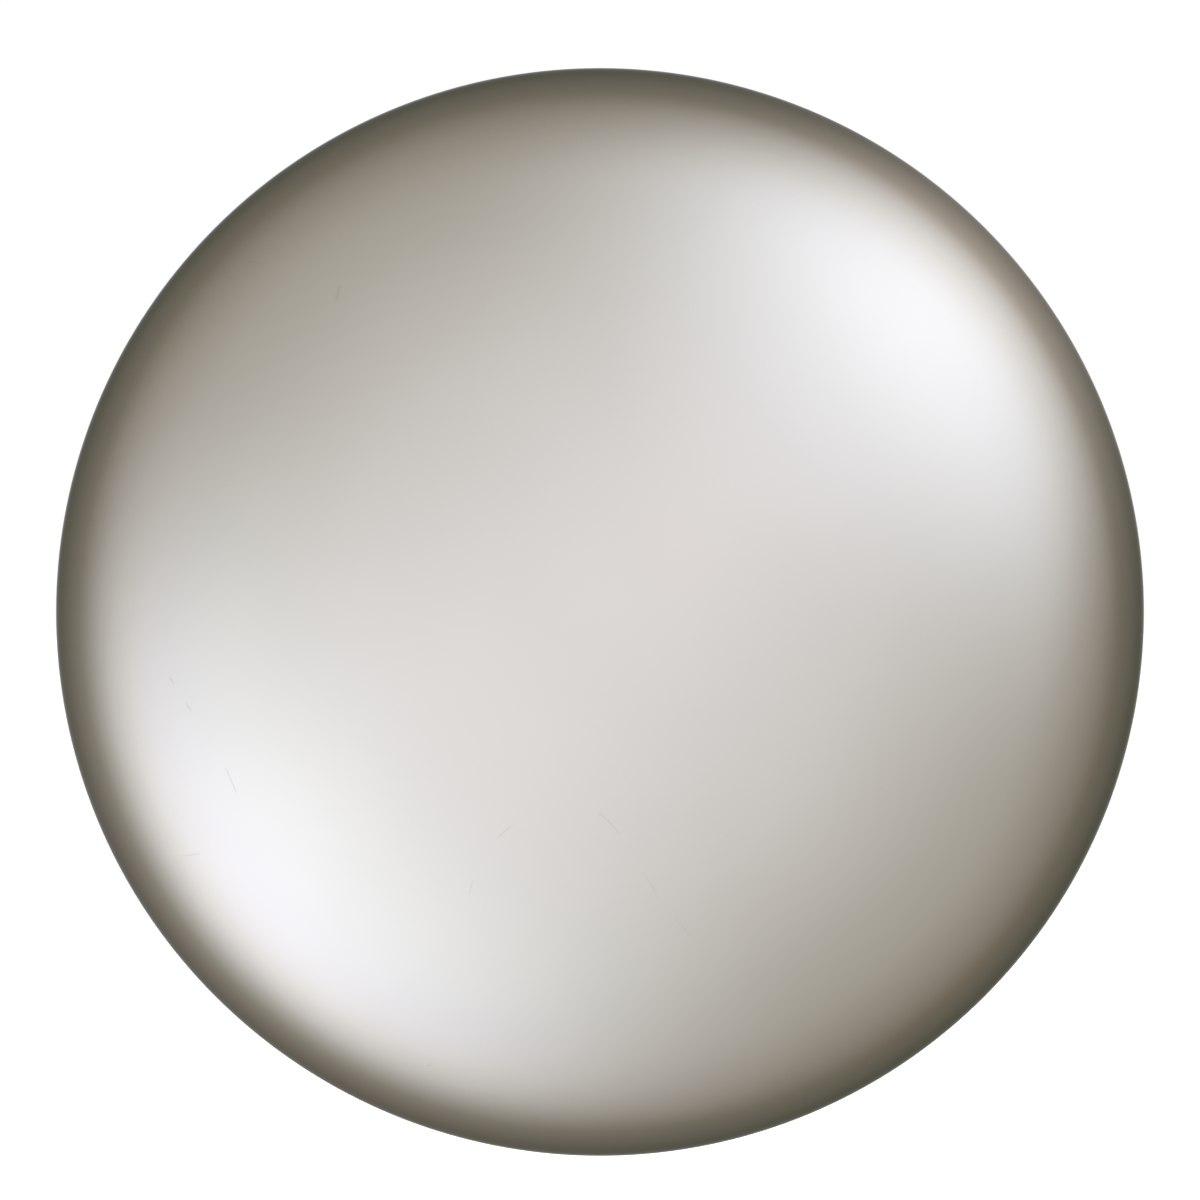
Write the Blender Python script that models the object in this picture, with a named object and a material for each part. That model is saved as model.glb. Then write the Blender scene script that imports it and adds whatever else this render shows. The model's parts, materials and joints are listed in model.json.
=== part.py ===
"""Rimless convex traffic mirror on a pan-and-tilt wall or post bracket, for Blender 4.5.

Metres, +Z up. The origin is the centre of the wall plate's rear face, +Y points into the wall,
and the mirror looks along -Y. Everything that pans hangs from one empty on the vertical pivot,
and everything that tilts hangs from a second empty on the horizontal pivot.
"""

import math

import bmesh
import bpy
from mathutils import Matrix, Vector

GAP = 0.0003  # left between pieces that touch
SEGMENTS = 60  # round the dome, the gasket and the back shell
ROUND = 24  # round bolts, washers and sleeves

# Mirror face: one pressed sheet, a shallow dome whose edge rolls back into a skirt and a flange.
MIRROR_RADIUS = 0.300
DOME_RADIUS = 0.700  # of curvature, over the middle of the dome
EDGE_RADIUS = 0.034  # of curvature, where the edge turns back
EASE_START = math.radians(12)  # slope at which the dome's curvature starts to tighten
EASE_END = math.radians(47.7)  # slope at which it has become the edge's
FACE_SHEET = 0.0010
SKIRT_LENGTH = 0.010
FLANGE_BEND = 0.005
FLANGE_INNER = 0.279

# Back shell: a moulded dish with a flat hub and pressed radial ribs.
SHELL_WALL = 0.0025
SHELL_OUTER = 0.2965
SHELL_STEP_RADIUS = 0.276
SHELL_STEP = 0.011
SHELL_SHOULDER = 0.008  # from the crown's edge out to the step
SHELL_RISE = 0.042
HUB_RADIUS = 0.100
CROWN_DROP = 0.020
CROWN_POWER = 1.7
RIB_COUNT = 10
RIB_HEIGHT = 0.004
RIB_START = 0.112
RIB_END = 0.256
GASKET_THICKNESS = 0.003

# Blind rivets that hold shell, gasket and face flange together.
RIVET_COUNT = 12
RIVET_PHASE = math.radians(15)  # from the top, so that no rivet falls on a facet edge
RIVET_CIRCLE = 0.2875
RIVET_SHANK = 0.0024
RIVET_HEAD = 0.0050

# Pivots, measured forward from the wall face.
PAN_DEPTH = 0.105
TILT_DEPTH = 0.155
HUB_FORWARD = 0.045  # from the tilt axis to the shell's hub face

# Ear brackets, knuckle and fork.
PLATE = 0.005
EAR_INNER = 0.026
EAR_NOSE = 0.019
EAR_ROOT_HALF_HEIGHT = 0.040
FOOT_WIDTH = 0.040
FOOT_HALF_HEIGHT = 0.055
BEND_INNER = 0.003
FORK_INNER = 0.027
FORK_NOSE = 0.022
FORK_ROOT_HALF_WIDTH = 0.040
CHEEK_X = 0.024
CHEEK_REACH = 0.058
CHEEK_CUT = 0.030  # radius of the round notch in each cheek, which clears the knuckle
GUSSET_TOP = 0.076
GUSSET_REACH = 0.074
GUSSET_LIP = 0.006
SLEEVE = 0.015
SLEEVE_BORE = 0.0066
NECK_HALF_WIDTH = 0.009
NECK_HALF_HEIGHT = 0.0105
KNUCKLE_RIB = 0.007
FRICTION_DISC = 0.0014
STIFFENER_HALF_WIDTH = 0.072
STIFFENER_HALF_HEIGHT = 0.062
STIFFENER = 0.004

# Wall plate.
WALL_HALF_WIDTH = 0.075
WALL_HALF_HEIGHT = 0.090
WALL_PLATE = 0.006
WALL_CORNER = 0.015
SLOT_X = 0.055
SLOT_Z = 0.062
SLOT_HALF_WIDTH = 0.00525
SLOT_HALF_LENGTH = 0.012

# Fasteners: (shank radius, half across flats, head height, nut height, washer radius, washer thickness)
M12 = (0.006, 0.009, 0.0075, 0.0100, 0.0120, 0.0025)
M8 = (0.004, 0.0065, 0.0053, 0.0068, 0.0080, 0.0016)
HUB_BOLT_X = 0.050
HUB_BOLT_Z = 0.040
SEAL_WASHER = 0.002
VENT_X = 0.018
VENT_Z = 0.084
VENT_SHANK = 0.006

MATERIALS = {
    # name: (colour, roughness, metallic)
    "mirror_steel": ((0.78, 0.76, 0.72), 0.10, 1.0),
    "shell_plastic": ((0.16, 0.165, 0.17), 0.55, 0.0),
    "seal_rubber": ((0.03, 0.03, 0.03), 0.80, 0.0),
    "galvanised_steel": ((0.56, 0.58, 0.60), 0.45, 1.0),
    "cast_aluminium": ((0.62, 0.63, 0.64), 0.50, 1.0),
    "zinc_fastener": ((0.66, 0.66, 0.64), 0.35, 1.0),
    "friction_nylon": ((0.82, 0.80, 0.74), 0.60, 0.0),
}


# ---------------------------------------------------------------- scene and objects


def clear_scene():
    for thing in list(bpy.data.objects):
        bpy.data.objects.remove(thing)


def material(name):
    found = bpy.data.materials.get(name)
    if found:
        return found
    colour, roughness, metallic = MATERIALS[name]
    made = bpy.data.materials.new(name)
    made.use_nodes = True
    shader = made.node_tree.nodes["Principled BSDF"]
    shader.inputs["Base Color"].default_value = (*colour, 1)
    shader.inputs["Roughness"].default_value = roughness
    shader.inputs["Metallic"].default_value = metallic
    return made


def empty(name, location, parent=None):
    made = bpy.data.objects.new(name, None)
    made.location = location
    made.parent = parent
    bpy.context.scene.collection.objects.link(made)
    return made


def place(name, mesh, finish, parent=None, location=(0, 0, 0), rotation=(0, 0, 0)):
    """One named piece of the mirror. Copies of a fastener pass the same mesh."""
    made = bpy.data.objects.new(name, mesh)
    made.location = location
    made.rotation_euler = rotation
    made.parent = parent
    if not mesh.materials:
        mesh.materials.append(material(finish))
    bpy.context.scene.collection.objects.link(made)
    return made


# ---------------------------------------------------------------- shape tools


def finished(bm, name="shape"):
    """The bmesh as a mesh with outward normals, smooth except at real edges."""
    bmesh.ops.remove_doubles(bm, verts=bm.verts, dist=1e-6)
    bmesh.ops.recalc_face_normals(bm, faces=bm.faces)
    mesh = bpy.data.meshes.new(name)
    bm.to_mesh(mesh)
    bm.free()
    mesh.shade_smooth()
    mesh.set_sharp_from_angle(angle=math.radians(35))
    return mesh


def arc(centre, radius, start, end, steps):
    """Points on an arc in a plane, angles in degrees, both ends included."""
    angles = (math.radians(start + (end - start) * i / steps) for i in range(steps + 1))
    return [(centre[0] + radius * math.cos(a), centre[1] + radius * math.sin(a)) for a in angles]


def turned(profile, segments=ROUND, axis="Z"):
    """A closed profile of (radius, height) points spun all the way round the axis."""
    bm = bmesh.new()
    if axis == "Z":
        points = [(r, 0, h) for r, h in profile]
        direction = (0, 0, 1)
    else:
        points = [(r, h, 0) for r, h in profile]
        direction = (0, 1, 0)
    verts = [bm.verts.new(p) for p in points]
    edges = [bm.edges.new((a, b)) for a, b in zip(verts, verts[1:] + verts[:1])]
    bmesh.ops.spin(
        bm,
        geom=verts + edges,
        cent=(0, 0, 0),
        axis=direction,
        angle=2 * math.pi,
        steps=segments,
        use_merge=True,
    )
    bmesh.ops.remove_doubles(bm, verts=bm.verts, dist=1e-6)
    on_axis = [e for e in bm.edges if not e.link_faces]
    bmesh.ops.delete(bm, geom=on_axis, context="EDGES")
    bm.normal_update()
    flat_centres = [v for v in bm.verts if is_flat_fan(v, segments)]
    bmesh.ops.dissolve_verts(bm, verts=flat_centres)
    return finished(bm)


def is_flat_fan(vertex, segments):
    """Whether a vertex is the middle of a flat disc of triangles."""
    normals = [face.normal for face in vertex.link_faces]
    return len(normals) == segments and all(n.dot(normals[0]) > 0.999999 for n in normals)


def rod(radius, start, end, segments=ROUND, chamfer=0.0):
    """A plain round bar along Z, chamfered at its end if asked."""
    nose = [(radius, end - chamfer), (radius - chamfer, end)] if chamfer else [(radius, end)]
    return turned([(0, start), (radius, start), *nose, (0, end)], segments)


def prism(outline, start, end, normal="Z"):
    """A flat outline extruded from start to end along the axis named by normal.

    The outline's two coordinates are the other two axes in X, Y, Z order.
    """
    place_point = {
        "X": lambda u, v, w: (w, u, v),
        "Y": lambda u, v, w: (u, w, v),
        "Z": lambda u, v, w: (u, v, w),
    }[normal]
    bm = bmesh.new()
    face = bm.faces.new([bm.verts.new(place_point(u, v, start)) for u, v in outline])
    grown = bmesh.ops.extrude_face_region(bm, geom=[face])["geom"]
    far_end = [g for g in grown if isinstance(g, bmesh.types.BMVert)]
    bmesh.ops.translate(bm, verts=far_end, vec=Vector(place_point(0, 0, end - start)))
    return finished(bm)


def boolean(base, others, operation):
    """base joined with, cut by or limited to each other mesh in turn, as a new mesh."""
    body = bpy.data.objects.new("body", base)
    bpy.context.scene.collection.objects.link(body)
    for other in others:
        tool = bpy.data.objects.new("tool", other)
        bpy.context.scene.collection.objects.link(tool)
        step = body.modifiers.new("step", "BOOLEAN")
        step.operation = operation
        step.object = tool
        body.data = evaluated(body)
        body.modifiers.clear()
        bpy.data.objects.remove(tool)
    mesh = body.data
    bpy.data.objects.remove(body)
    mesh.shade_smooth()
    mesh.set_sharp_from_angle(angle=math.radians(35))
    return mesh


def evaluated(thing):
    graph = bpy.context.evaluated_depsgraph_get()
    graph.update()
    return bpy.data.meshes.new_from_object(thing.evaluated_get(graph))


def moved(mesh, location=(0, 0, 0), turn=0.0, about="Z"):
    """A copy of a mesh, turned by degrees about an axis and then moved."""
    copy = mesh.copy()
    copy.transform(Matrix.Translation(location) @ Matrix.Rotation(math.radians(turn), 4, about))
    return copy


def rivet_places(depth=0.0):
    """The rivet centres, clockwise from just right of the top as seen from the mirror's front."""
    angles = (RIVET_PHASE + 2 * math.pi * i / RIVET_COUNT for i in range(RIVET_COUNT))
    return [(RIVET_CIRCLE * math.sin(a), depth, RIVET_CIRCLE * math.cos(a)) for a in angles]


def rounded_rectangle(half_width, half_height, corner, steps=4):
    outline = []
    for sign_u, sign_v, start in ((1, 1, 0), (-1, 1, 90), (-1, -1, 180), (1, -1, 270)):
        centre = (sign_u * (half_width - corner), sign_v * (half_height - corner))
        outline += arc(centre, corner, start, start + 90, steps)
    return outline


def slot_outline(centre, half_width, half_length):
    """An upright slot with round ends."""
    reach = half_length - half_width
    top = arc((centre[0], centre[1] + reach), half_width, 0, 180, 8)
    bottom = arc((centre[0], centre[1] - reach), half_width, 180, 360, 8)
    return top + bottom


def nose_outline(base, half_width, radius):
    """A plate that tapers from a wide base at -base to a round nose about the origin, along +u."""
    corner = Vector((-base, half_width))
    bearing = math.degrees(math.atan2(corner.y, corner.x))
    tangent = bearing - math.degrees(math.acos(radius / corner.length))
    return [(-base, -half_width), *arc((0, 0), radius, -tangent, tangent, 12), (-base, half_width)]


# ---------------------------------------------------------------- fasteners, along +Z


def hexagon(half_flats, start, end):
    corner = half_flats / math.cos(math.pi / 6)
    return prism(arc((0, 0), corner, 0, 300, 5), start, end)


def hex_bolt(size, grip):
    """The head sits below z = 0 and the shank rises through the grip."""
    shank, half_flats, head, _, _, _ = size
    bar = rod(shank, -head / 2, grip, ROUND, chamfer=shank * 0.15)
    return boolean(hexagon(half_flats, -head, 0), [bar], "UNION")


def lock_nut(size):
    """A hexagon with the round collar that holds its nylon insert."""
    shank, half_flats, _, height, _, _ = size
    collar = rod(half_flats * 0.93, height / 2, height * 1.25, ROUND, chamfer=half_flats * 0.12)
    body = boolean(hexagon(half_flats, 0, height), [collar], "UNION")
    return boolean(body, [rod(shank + GAP, -height, 2 * height)], "DIFFERENCE")


def washer(outer, inner, thickness, segments=ROUND):
    return turned([(inner, 0), (outer, 0), (outer, thickness), (inner, thickness)], segments)


def blind_rivet(grip):
    """Domed head below z = 0, and the formed bulb past the grip."""
    bulb = RIVET_SHANK * 1.45
    profile = [
        (0, -0.0018),
        (RIVET_HEAD * 0.55, -0.0016),
        (RIVET_HEAD * 0.9, -0.0008),
        (RIVET_HEAD, 0),
        (RIVET_SHANK, 0),
        (RIVET_SHANK, grip),
        (bulb, grip + 0.001),
        (bulb, grip + 0.003),
        (RIVET_SHANK * 0.7, grip + 0.0045),
        (0, grip + 0.0045),
    ]
    return turned(profile, 12)


# ---------------------------------------------------------------- mirror head


def dome_curve(inset, step=3.0):
    """Half the dome's section, inset from its outside, as (radius, depth behind the rim plane)
    points from the apex to the rim, one for each step of slope in degrees."""
    pieces = 20
    small = math.radians(step / pieces)
    radius = depth = 0.0
    track = [(radius, depth, 0.0)]
    for i in range(round(90 / step) * pieces):
        slope = small * (i + 0.5)
        t = min(max((slope - EASE_START) / (EASE_END - EASE_START), 0), 1)
        curvature_radius = DOME_RADIUS * (EDGE_RADIUS / DOME_RADIUS) ** (t * t * (3 - 2 * t))
        radius += curvature_radius * math.cos(slope) * small
        depth += curvature_radius * math.sin(slope) * small
        if (i + 1) % pieces == 0:
            track.append((radius, depth, small * (i + 1)))
    fit = MIRROR_RADIUS / radius
    return [(r * fit - inset * math.sin(a), (d - depth) * fit + inset * math.cos(a)) for r, d, a in track]


def mirror_face():
    bend_centre = (MIRROR_RADIUS - FLANGE_BEND, SKIRT_LENGTH)
    back = SKIRT_LENGTH + FLANGE_BEND
    outside = [*dome_curve(0), *arc(bend_centre, FLANGE_BEND, 0, 90, 3), (FLANGE_INNER, back)]
    inside = [
        *dome_curve(FACE_SHEET),
        *arc(bend_centre, FLANGE_BEND - FACE_SHEET, 0, 90, 3),
        (FLANGE_INNER, back - FACE_SHEET),
    ]
    sheet = turned(outside + inside[::-1], SEGMENTS, "Y")
    return boolean(sheet, rivet_holes(), "DIFFERENCE")


def rivet_holes():
    drill = prism(arc((0, 0), RIVET_SHANK + GAP * 1.5, 0, 330, 11), -0.02, 0.05, "Y")
    return [moved(drill, spot) for spot in rivet_places()]


def rim_gasket():
    profile = [
        (FLANGE_INNER + 0.001, 0),
        (SHELL_OUTER - 0.002, 0),
        (SHELL_OUTER - 0.002, GASKET_THICKNESS),
        (FLANGE_INNER + 0.001, GASKET_THICKNESS),
    ]
    return boolean(turned(profile, SEGMENTS, "Y"), rivet_holes(), "DIFFERENCE")


def shell_line(inset):
    """The shell's outside, or its inside if inset, as (radius, depth from the hub face) points
    from the hub centre out to the rim flange. Depth is negative towards the mirror."""
    crown_edge = SHELL_STEP_RADIUS - SHELL_SHOULDER
    crown = [
        (HUB_RADIUS + (crown_edge - HUB_RADIUS) * t, -CROWN_DROP * t**CROWN_POWER)
        for t in (0.12, 0.28, 0.46, 0.64, 0.82, 1)
    ]
    step_top = (SHELL_STEP_RADIUS, -SHELL_RISE + SHELL_STEP)
    step_foot = (SHELL_STEP_RADIUS + 0.005, -SHELL_RISE)
    line = [(0, 0), (HUB_RADIUS, 0), *crown, step_top, step_foot]
    return [(max(r - inset * 0.3, 0), y - inset) for r, y in line]


def rib_lift(radius, angle):
    """How far a radial rib stands out of the shell at a point."""
    period = 2 * math.pi / RIB_COUNT
    away = abs((angle + period / 2) % period - period / 2)
    across = min(max((0.25 * period - away) / (0.125 * period), 0), 1)
    fade = 0.018
    along = min(max((radius - RIB_START) / fade, 0), max((RIB_END - radius) / fade, 0), 1)
    return RIB_HEIGHT * across * along


def back_shell():
    outside = shell_line(0)
    inside = shell_line(SHELL_WALL)
    flange = [(SHELL_OUTER, -SHELL_RISE), (SHELL_OUTER, -SHELL_RISE - SHELL_WALL)]
    dish = turned(outside + flange + inside[::-1], SEGMENTS, "Y")
    for vertex in dish.vertices:
        x, y, z = vertex.co
        vertex.co.y = y + rib_lift(math.hypot(x, z), math.atan2(z, x))
    drill = prism(arc((0, 0), M8[0] + GAP * 1.5, 0, 345, 23), -0.05, 0.05, "Y")
    vent = prism(arc((0, 0), VENT_SHANK + GAP, 0, 345, 23), -0.05, 0.05, "Y")
    holes = [moved(drill, at) for at in hub_bolt_places()]
    holes += [moved(vent, at) for at in vent_places()]
    rim = [moved(tool, (0, -SHELL_RISE, 0)) for tool in rivet_holes()]
    return boolean(dish, holes + rim, "DIFFERENCE")


def hub_bolt_places():
    return [(sx * HUB_BOLT_X, 0, sz * HUB_BOLT_Z) for sx in (-1, 1) for sz in (-1, 1)]


def vent_places():
    return [(side * VENT_X, 0, -VENT_Z) for side in (-1, 1)]


def breather_vent():
    """A mushroom vent whose slotted cap sits outside the hub, with a ribbed shank inside."""
    barb = VENT_SHANK + 0.0012
    wall = SHELL_WALL + GAP
    profile = [
        (0, 0.0045),
        (0.006, 0.0042),
        (0.0105, 0.0022),
        (0.0110, GAP),
        (VENT_SHANK, GAP),
        (VENT_SHANK, -wall),
        (barb, -wall - 0.001),
        (VENT_SHANK * 0.8, -wall - 0.008),
        (0, -wall - 0.008),
    ]
    return turned(profile[::-1], ROUND)


def ear_bracket():
    """The right-hand ear: a foot bolted to the hub and an ear that carries the tilt bolt.
    Its own frame is the tilt axis, with the ear's inner face at x = EAR_INNER."""
    front = -HUB_FORWARD + GAP
    outer = EAR_INNER + FOOT_WIDTH
    bend = BEND_INNER + PLATE
    section = [
        (outer, front),
        (outer, front + PLATE),
        *arc((EAR_INNER + bend, front + bend), BEND_INNER, 270, 180, 4),
        (EAR_INNER + PLATE, EAR_NOSE + PLATE),
        (EAR_INNER, EAR_NOSE + PLATE),
        *arc((EAR_INNER + bend, front + bend), bend, 180, 270, 4),
    ]
    taper = nose_outline(HUB_FORWARD - bend, EAR_ROOT_HALF_HEIGHT, EAR_NOSE)
    side = [
        (-HUB_FORWARD - PLATE, -FOOT_HALF_HEIGHT),
        (front + PLATE + 0.001, -FOOT_HALF_HEIGHT),
        *taper,
        (front + PLATE + 0.001, FOOT_HALF_HEIGHT),
        (-HUB_FORWARD - PLATE, FOOT_HALF_HEIGHT),
    ]
    blank = prism(section, -0.08, 0.08, "Z")
    bracket = boolean(blank, [prism(side, 0, 0.1, "X")], "INTERSECT")
    drill = prism(arc((0, 0), M8[0] + GAP * 1.5, 0, 345, 23), -0.08, 0.08, "Y")
    pivot = prism(arc((0, 0), SLEEVE_BORE, 0, 345, 23), 0, 0.1, "X")
    feet = [moved(drill, (HUB_BOLT_X, 0, sign * HUB_BOLT_Z)) for sign in (-1, 1)]
    return boolean(bracket, [*feet, pivot], "DIFFERENCE")


def stiffener():
    """The inner plate that spreads the bolts' load across the hub, lightened in the middle."""
    outline = rounded_rectangle(STIFFENER_HALF_WIDTH, STIFFENER_HALF_HEIGHT, 0.012)
    plate = prism(outline, -STIFFENER, 0, "Y")
    drill = prism(arc((0, 0), M8[0] + GAP * 1.5, 0, 345, 23), -0.05, 0.05, "Y")
    window = prism(arc((0, 0), 0.026, 0, 345, 23), -0.05, 0.05, "Y")
    return boolean(plate, [*(moved(drill, at) for at in hub_bolt_places()), window], "DIFFERENCE")


def build_head(tilt_axis):
    flange_back = -HUB_FORWARD - SHELL_RISE - SHELL_WALL - GAP
    gasket_front = flange_back - GASKET_THICKNESS
    rim_plane = gasket_front - GAP - SKIRT_LENGTH - FLANGE_BEND
    place("mirror_face", mirror_face(), "mirror_steel", tilt_axis, (0, rim_plane, 0))
    place("rim_gasket", rim_gasket(), "seal_rubber", tilt_axis, (0, gasket_front, 0))
    place("back_shell", back_shell(), "shell_plastic", tilt_axis, (0, -HUB_FORWARD, 0))
    inner = -HUB_FORWARD - SHELL_WALL - GAP
    place("hub_stiffener", stiffener(), "galvanised_steel", tilt_axis, (0, inner, 0))

    right = ear_bracket()
    left = right.copy()
    left.transform(Matrix.Scale(-1, 4, (1, 0, 0)))
    left.flip_normals()
    place("ear_bracket_right", right, "galvanised_steel", tilt_axis)
    place("ear_bracket_left", left, "galvanised_steel", tilt_axis)

    grip = GASKET_THICKNESS + SHELL_WALL + FACE_SHEET + 3 * GAP
    rivet = blind_rivet(grip)
    head_back = -HUB_FORWARD - SHELL_RISE + GAP
    for number, spot in enumerate(rivet_places(head_back), 1):
        name = f"rim_rivet_{number:02d}"
        place(name, rivet, "zinc_fastener", tilt_axis, spot, (math.radians(90), 0, 0))

    vent = breather_vent()
    for side, (x, _, z) in zip(("left", "right"), vent_places()):
        spot = (x, -HUB_FORWARD, z)
        place(f"breather_vent_{side}", vent, "seal_rubber", tilt_axis, spot, (math.radians(-90), 0, 0))
    build_hub_bolts(tilt_axis)


def build_hub_bolts(tilt_axis):
    """Bolt heads and sealing washers inside the head, plain washers and lock nuts outside."""
    shank, _, _, height, washer_radius, washer_thickness = M8
    inside = -HUB_FORWARD - SHELL_WALL - STIFFENER - 2 * GAP
    outside = -HUB_FORWARD + PLATE + 2 * GAP
    seal_face = inside - SEAL_WASHER
    head_face = seal_face - GAP
    nut_face = outside + washer_thickness + GAP
    bolt = hex_bolt(M8, nut_face - head_face + height * 1.25 + 0.004)
    seal_washer = washer(washer_radius, shank + GAP, SEAL_WASHER)
    flat_washer = washer(washer_radius, shank + GAP, washer_thickness)
    nut = lock_nut(M8)
    rearward = (math.radians(-90), 0, 0)
    for number, (x, _, z) in enumerate(hub_bolt_places(), 1):
        place(f"hub_bolt_{number}", bolt, "zinc_fastener", tilt_axis, (x, head_face, z), rearward)
        place(f"hub_seal_{number}", seal_washer, "seal_rubber", tilt_axis, (x, seal_face, z), rearward)
        place(f"hub_washer_{number}", flat_washer, "zinc_fastener", tilt_axis, (x, outside, z), rearward)
        place(f"hub_nut_{number}", nut, "zinc_fastener", tilt_axis, (x, nut_face, z), rearward)


# ---------------------------------------------------------------- pivots


def build_pivot(name, fixed_to, turning, half_gap, rotation):
    """A clamped pivot: bolt, nut and washers outside two plates, friction discs inside them.
    The bolt runs along its own +Z, which rotation turns onto the joint's axis."""
    shank, _, _, height, washer_radius, washer_thickness = M12
    turn = Matrix.Rotation(rotation[1], 3, "Y")

    def along(distance):
        return turn @ Vector((0, 0, distance))

    plate_back = half_gap + PLATE + GAP
    seat = plate_back + washer_thickness + GAP
    length = 2 * seat + height * 1.25 + 0.004
    bolt = hex_bolt(M12, length)
    flat_washer = washer(washer_radius, shank + GAP, washer_thickness)
    disc = washer(SLEEVE, SLEEVE_BORE, FRICTION_DISC)
    sleeve_end = half_gap - FRICTION_DISC - GAP
    spots = {"a": -seat + GAP, "b": plate_back}
    place(f"{name}_bolt", bolt, "zinc_fastener", fixed_to, along(-seat), rotation)
    place(f"{name}_nut", lock_nut(M12), "zinc_fastener", fixed_to, along(seat), rotation)
    for side, spot in spots.items():
        place(f"{name}_washer_{side}", flat_washer, "zinc_fastener", fixed_to, along(spot), rotation)
    for side, spot in {"a": -sleeve_end - FRICTION_DISC, "b": sleeve_end}.items():
        place(f"{name}_friction_disc_{side}", disc, "friction_nylon", turning, along(spot), rotation)


def knuckle():
    """A casting with an upright sleeve on the pan axis, a level sleeve on the tilt axis ahead of
    it, and ribs between them. Its own frame is the pan axis."""
    reach = TILT_DEPTH - PAN_DEPTH
    pan_half = FORK_INNER - FRICTION_DISC - 2 * GAP
    tilt_half = EAR_INNER - FRICTION_DISC - 2 * GAP
    upright = rod(SLEEVE, -pan_half, pan_half)
    level = prism(arc((-reach, 0), SLEEVE, 7.5, 352.5, 23), -tilt_half, tilt_half, "X")
    neck_sides = [
        (-NECK_HALF_WIDTH, -reach),
        (NECK_HALF_WIDTH, -reach),
        (NECK_HALF_WIDTH, 0),
        (-NECK_HALF_WIDTH, 0),
    ]
    neck = prism(neck_sides, -NECK_HALF_HEIGHT, NECK_HALF_HEIGHT)
    tall, wide = pan_half - 0.002, tilt_half - 0.002
    upright_web = [(-reach, -0.011), (-0.006, -tall), (-0.006, tall), (-reach, 0.011)]
    level_web = [(-wide, 0.006 - reach), (wide, 0.006 - reach), (0.010, 0), (-0.010, 0)]
    upright_rib = prism(upright_web, -KNUCKLE_RIB / 2, KNUCKLE_RIB / 2, "X")
    level_rib = prism(level_web, -KNUCKLE_RIB / 2, KNUCKLE_RIB / 2)
    body = boolean(upright, [level, neck, upright_rib, level_rib], "UNION")
    pan_bore = rod(SLEEVE_BORE, -0.1, 0.1)
    tilt_bore = prism(arc((-reach, 0), SLEEVE_BORE, 7.5, 352.5, 23), -0.1, 0.1, "X")
    return boolean(body, [pan_bore, tilt_bore], "DIFFERENCE")


# ---------------------------------------------------------------- wall bracket


def wall_bracket():
    """Wall plate, two fork arms, a boxed neck between them and a gusset on each arm, welded."""
    outline = rounded_rectangle(WALL_HALF_WIDTH, WALL_HALF_HEIGHT, WALL_CORNER)
    plate = prism(outline, -WALL_PLATE, 0, "Y")
    slots = [
        prism(slot_outline((sx * SLOT_X, sz * SLOT_Z), SLOT_HALF_WIDTH, SLOT_HALF_LENGTH), -0.02, 0.02, "Y")
        for sx in (-1, 1)
        for sz in (-1, 1)
    ]
    plate = boolean(plate, slots, "DIFFERENCE")

    seat = -WALL_PLATE / 2
    top = FORK_INNER + PLATE
    taper = nose_outline(PAN_DEPTH + seat, FORK_ROOT_HALF_WIDTH, FORK_NOSE)
    flat = [(v, -PAN_DEPTH - u) for u, v in taper]
    arms = [prism(flat, FORK_INNER, top), prism(flat, -top, -FORK_INNER)]

    into_arm = FORK_INNER + PLATE / 2
    cheek = [
        (seat, -into_arm),
        (seat, into_arm),
        (-CHEEK_REACH, into_arm),
        *arc((-CHEEK_REACH - 0.014, 0), CHEEK_CUT, 62, -62, 6),
        (-CHEEK_REACH, -into_arm),
    ]
    middles = (-CHEEK_X, CHEEK_X)
    cheeks = [prism(cheek, x - PLATE / 2, x + PLATE / 2, "X") for x in middles]

    gussets = []
    for sign in (-1, 1):
        corner = [
            (seat, sign * (top - PLATE / 2)),
            (seat, sign * GUSSET_TOP),
            (-WALL_PLATE - GUSSET_LIP, sign * GUSSET_TOP),
            (-GUSSET_REACH, sign * (top + GUSSET_LIP)),
            (-GUSSET_REACH, sign * (top - PLATE / 2)),
        ]
        gussets.append(prism(corner, -PLATE / 2, PLATE / 2, "X"))
    body = boolean(plate, arms + cheeks + gussets, "UNION")
    bore = moved(rod(SLEEVE_BORE, -0.1, 0.1), (0, -PAN_DEPTH, 0))
    return boolean(body, [bore], "DIFFERENCE")


# ---------------------------------------------------------------- assembly


def main():
    clear_scene()
    wall = empty("wall_mount", (0, 0, 0))
    fork_axis = empty("fork_pan_axis", (0, -PAN_DEPTH, 0), wall)
    pan_axis = empty("knuckle_pan_axis", (0, -PAN_DEPTH, 0), wall)
    tilt_axis = empty("head_tilt_axis", (0, PAN_DEPTH - TILT_DEPTH, 0), pan_axis)
    knuckle_tilt = empty("knuckle_tilt_axis", (0, PAN_DEPTH - TILT_DEPTH, 0), pan_axis)

    place("wall_bracket", wall_bracket(), "galvanised_steel", wall)
    place("swivel_knuckle", knuckle(), "cast_aluminium", pan_axis)
    build_pivot("pan", fork_axis, pan_axis, FORK_INNER, (0, math.pi, 0))
    build_pivot("tilt", tilt_axis, knuckle_tilt, EAR_INNER, (0, math.radians(90), 0))
    build_head(tilt_axis)


main()
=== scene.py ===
"""Looks of the rimless convex traffic mirror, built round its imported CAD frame.

Metres, in the CAD's frame: the wall plate's rear face is y = 0, the mirror looks along -Y, +Z is up.
Fasteners, washers, discs, seals and vents are built about +Z and laid along their CAD node. The
rest is built in place.
"""

import json
import math

import bmesh
import bpy
from mathutils import Matrix, Vector


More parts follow.
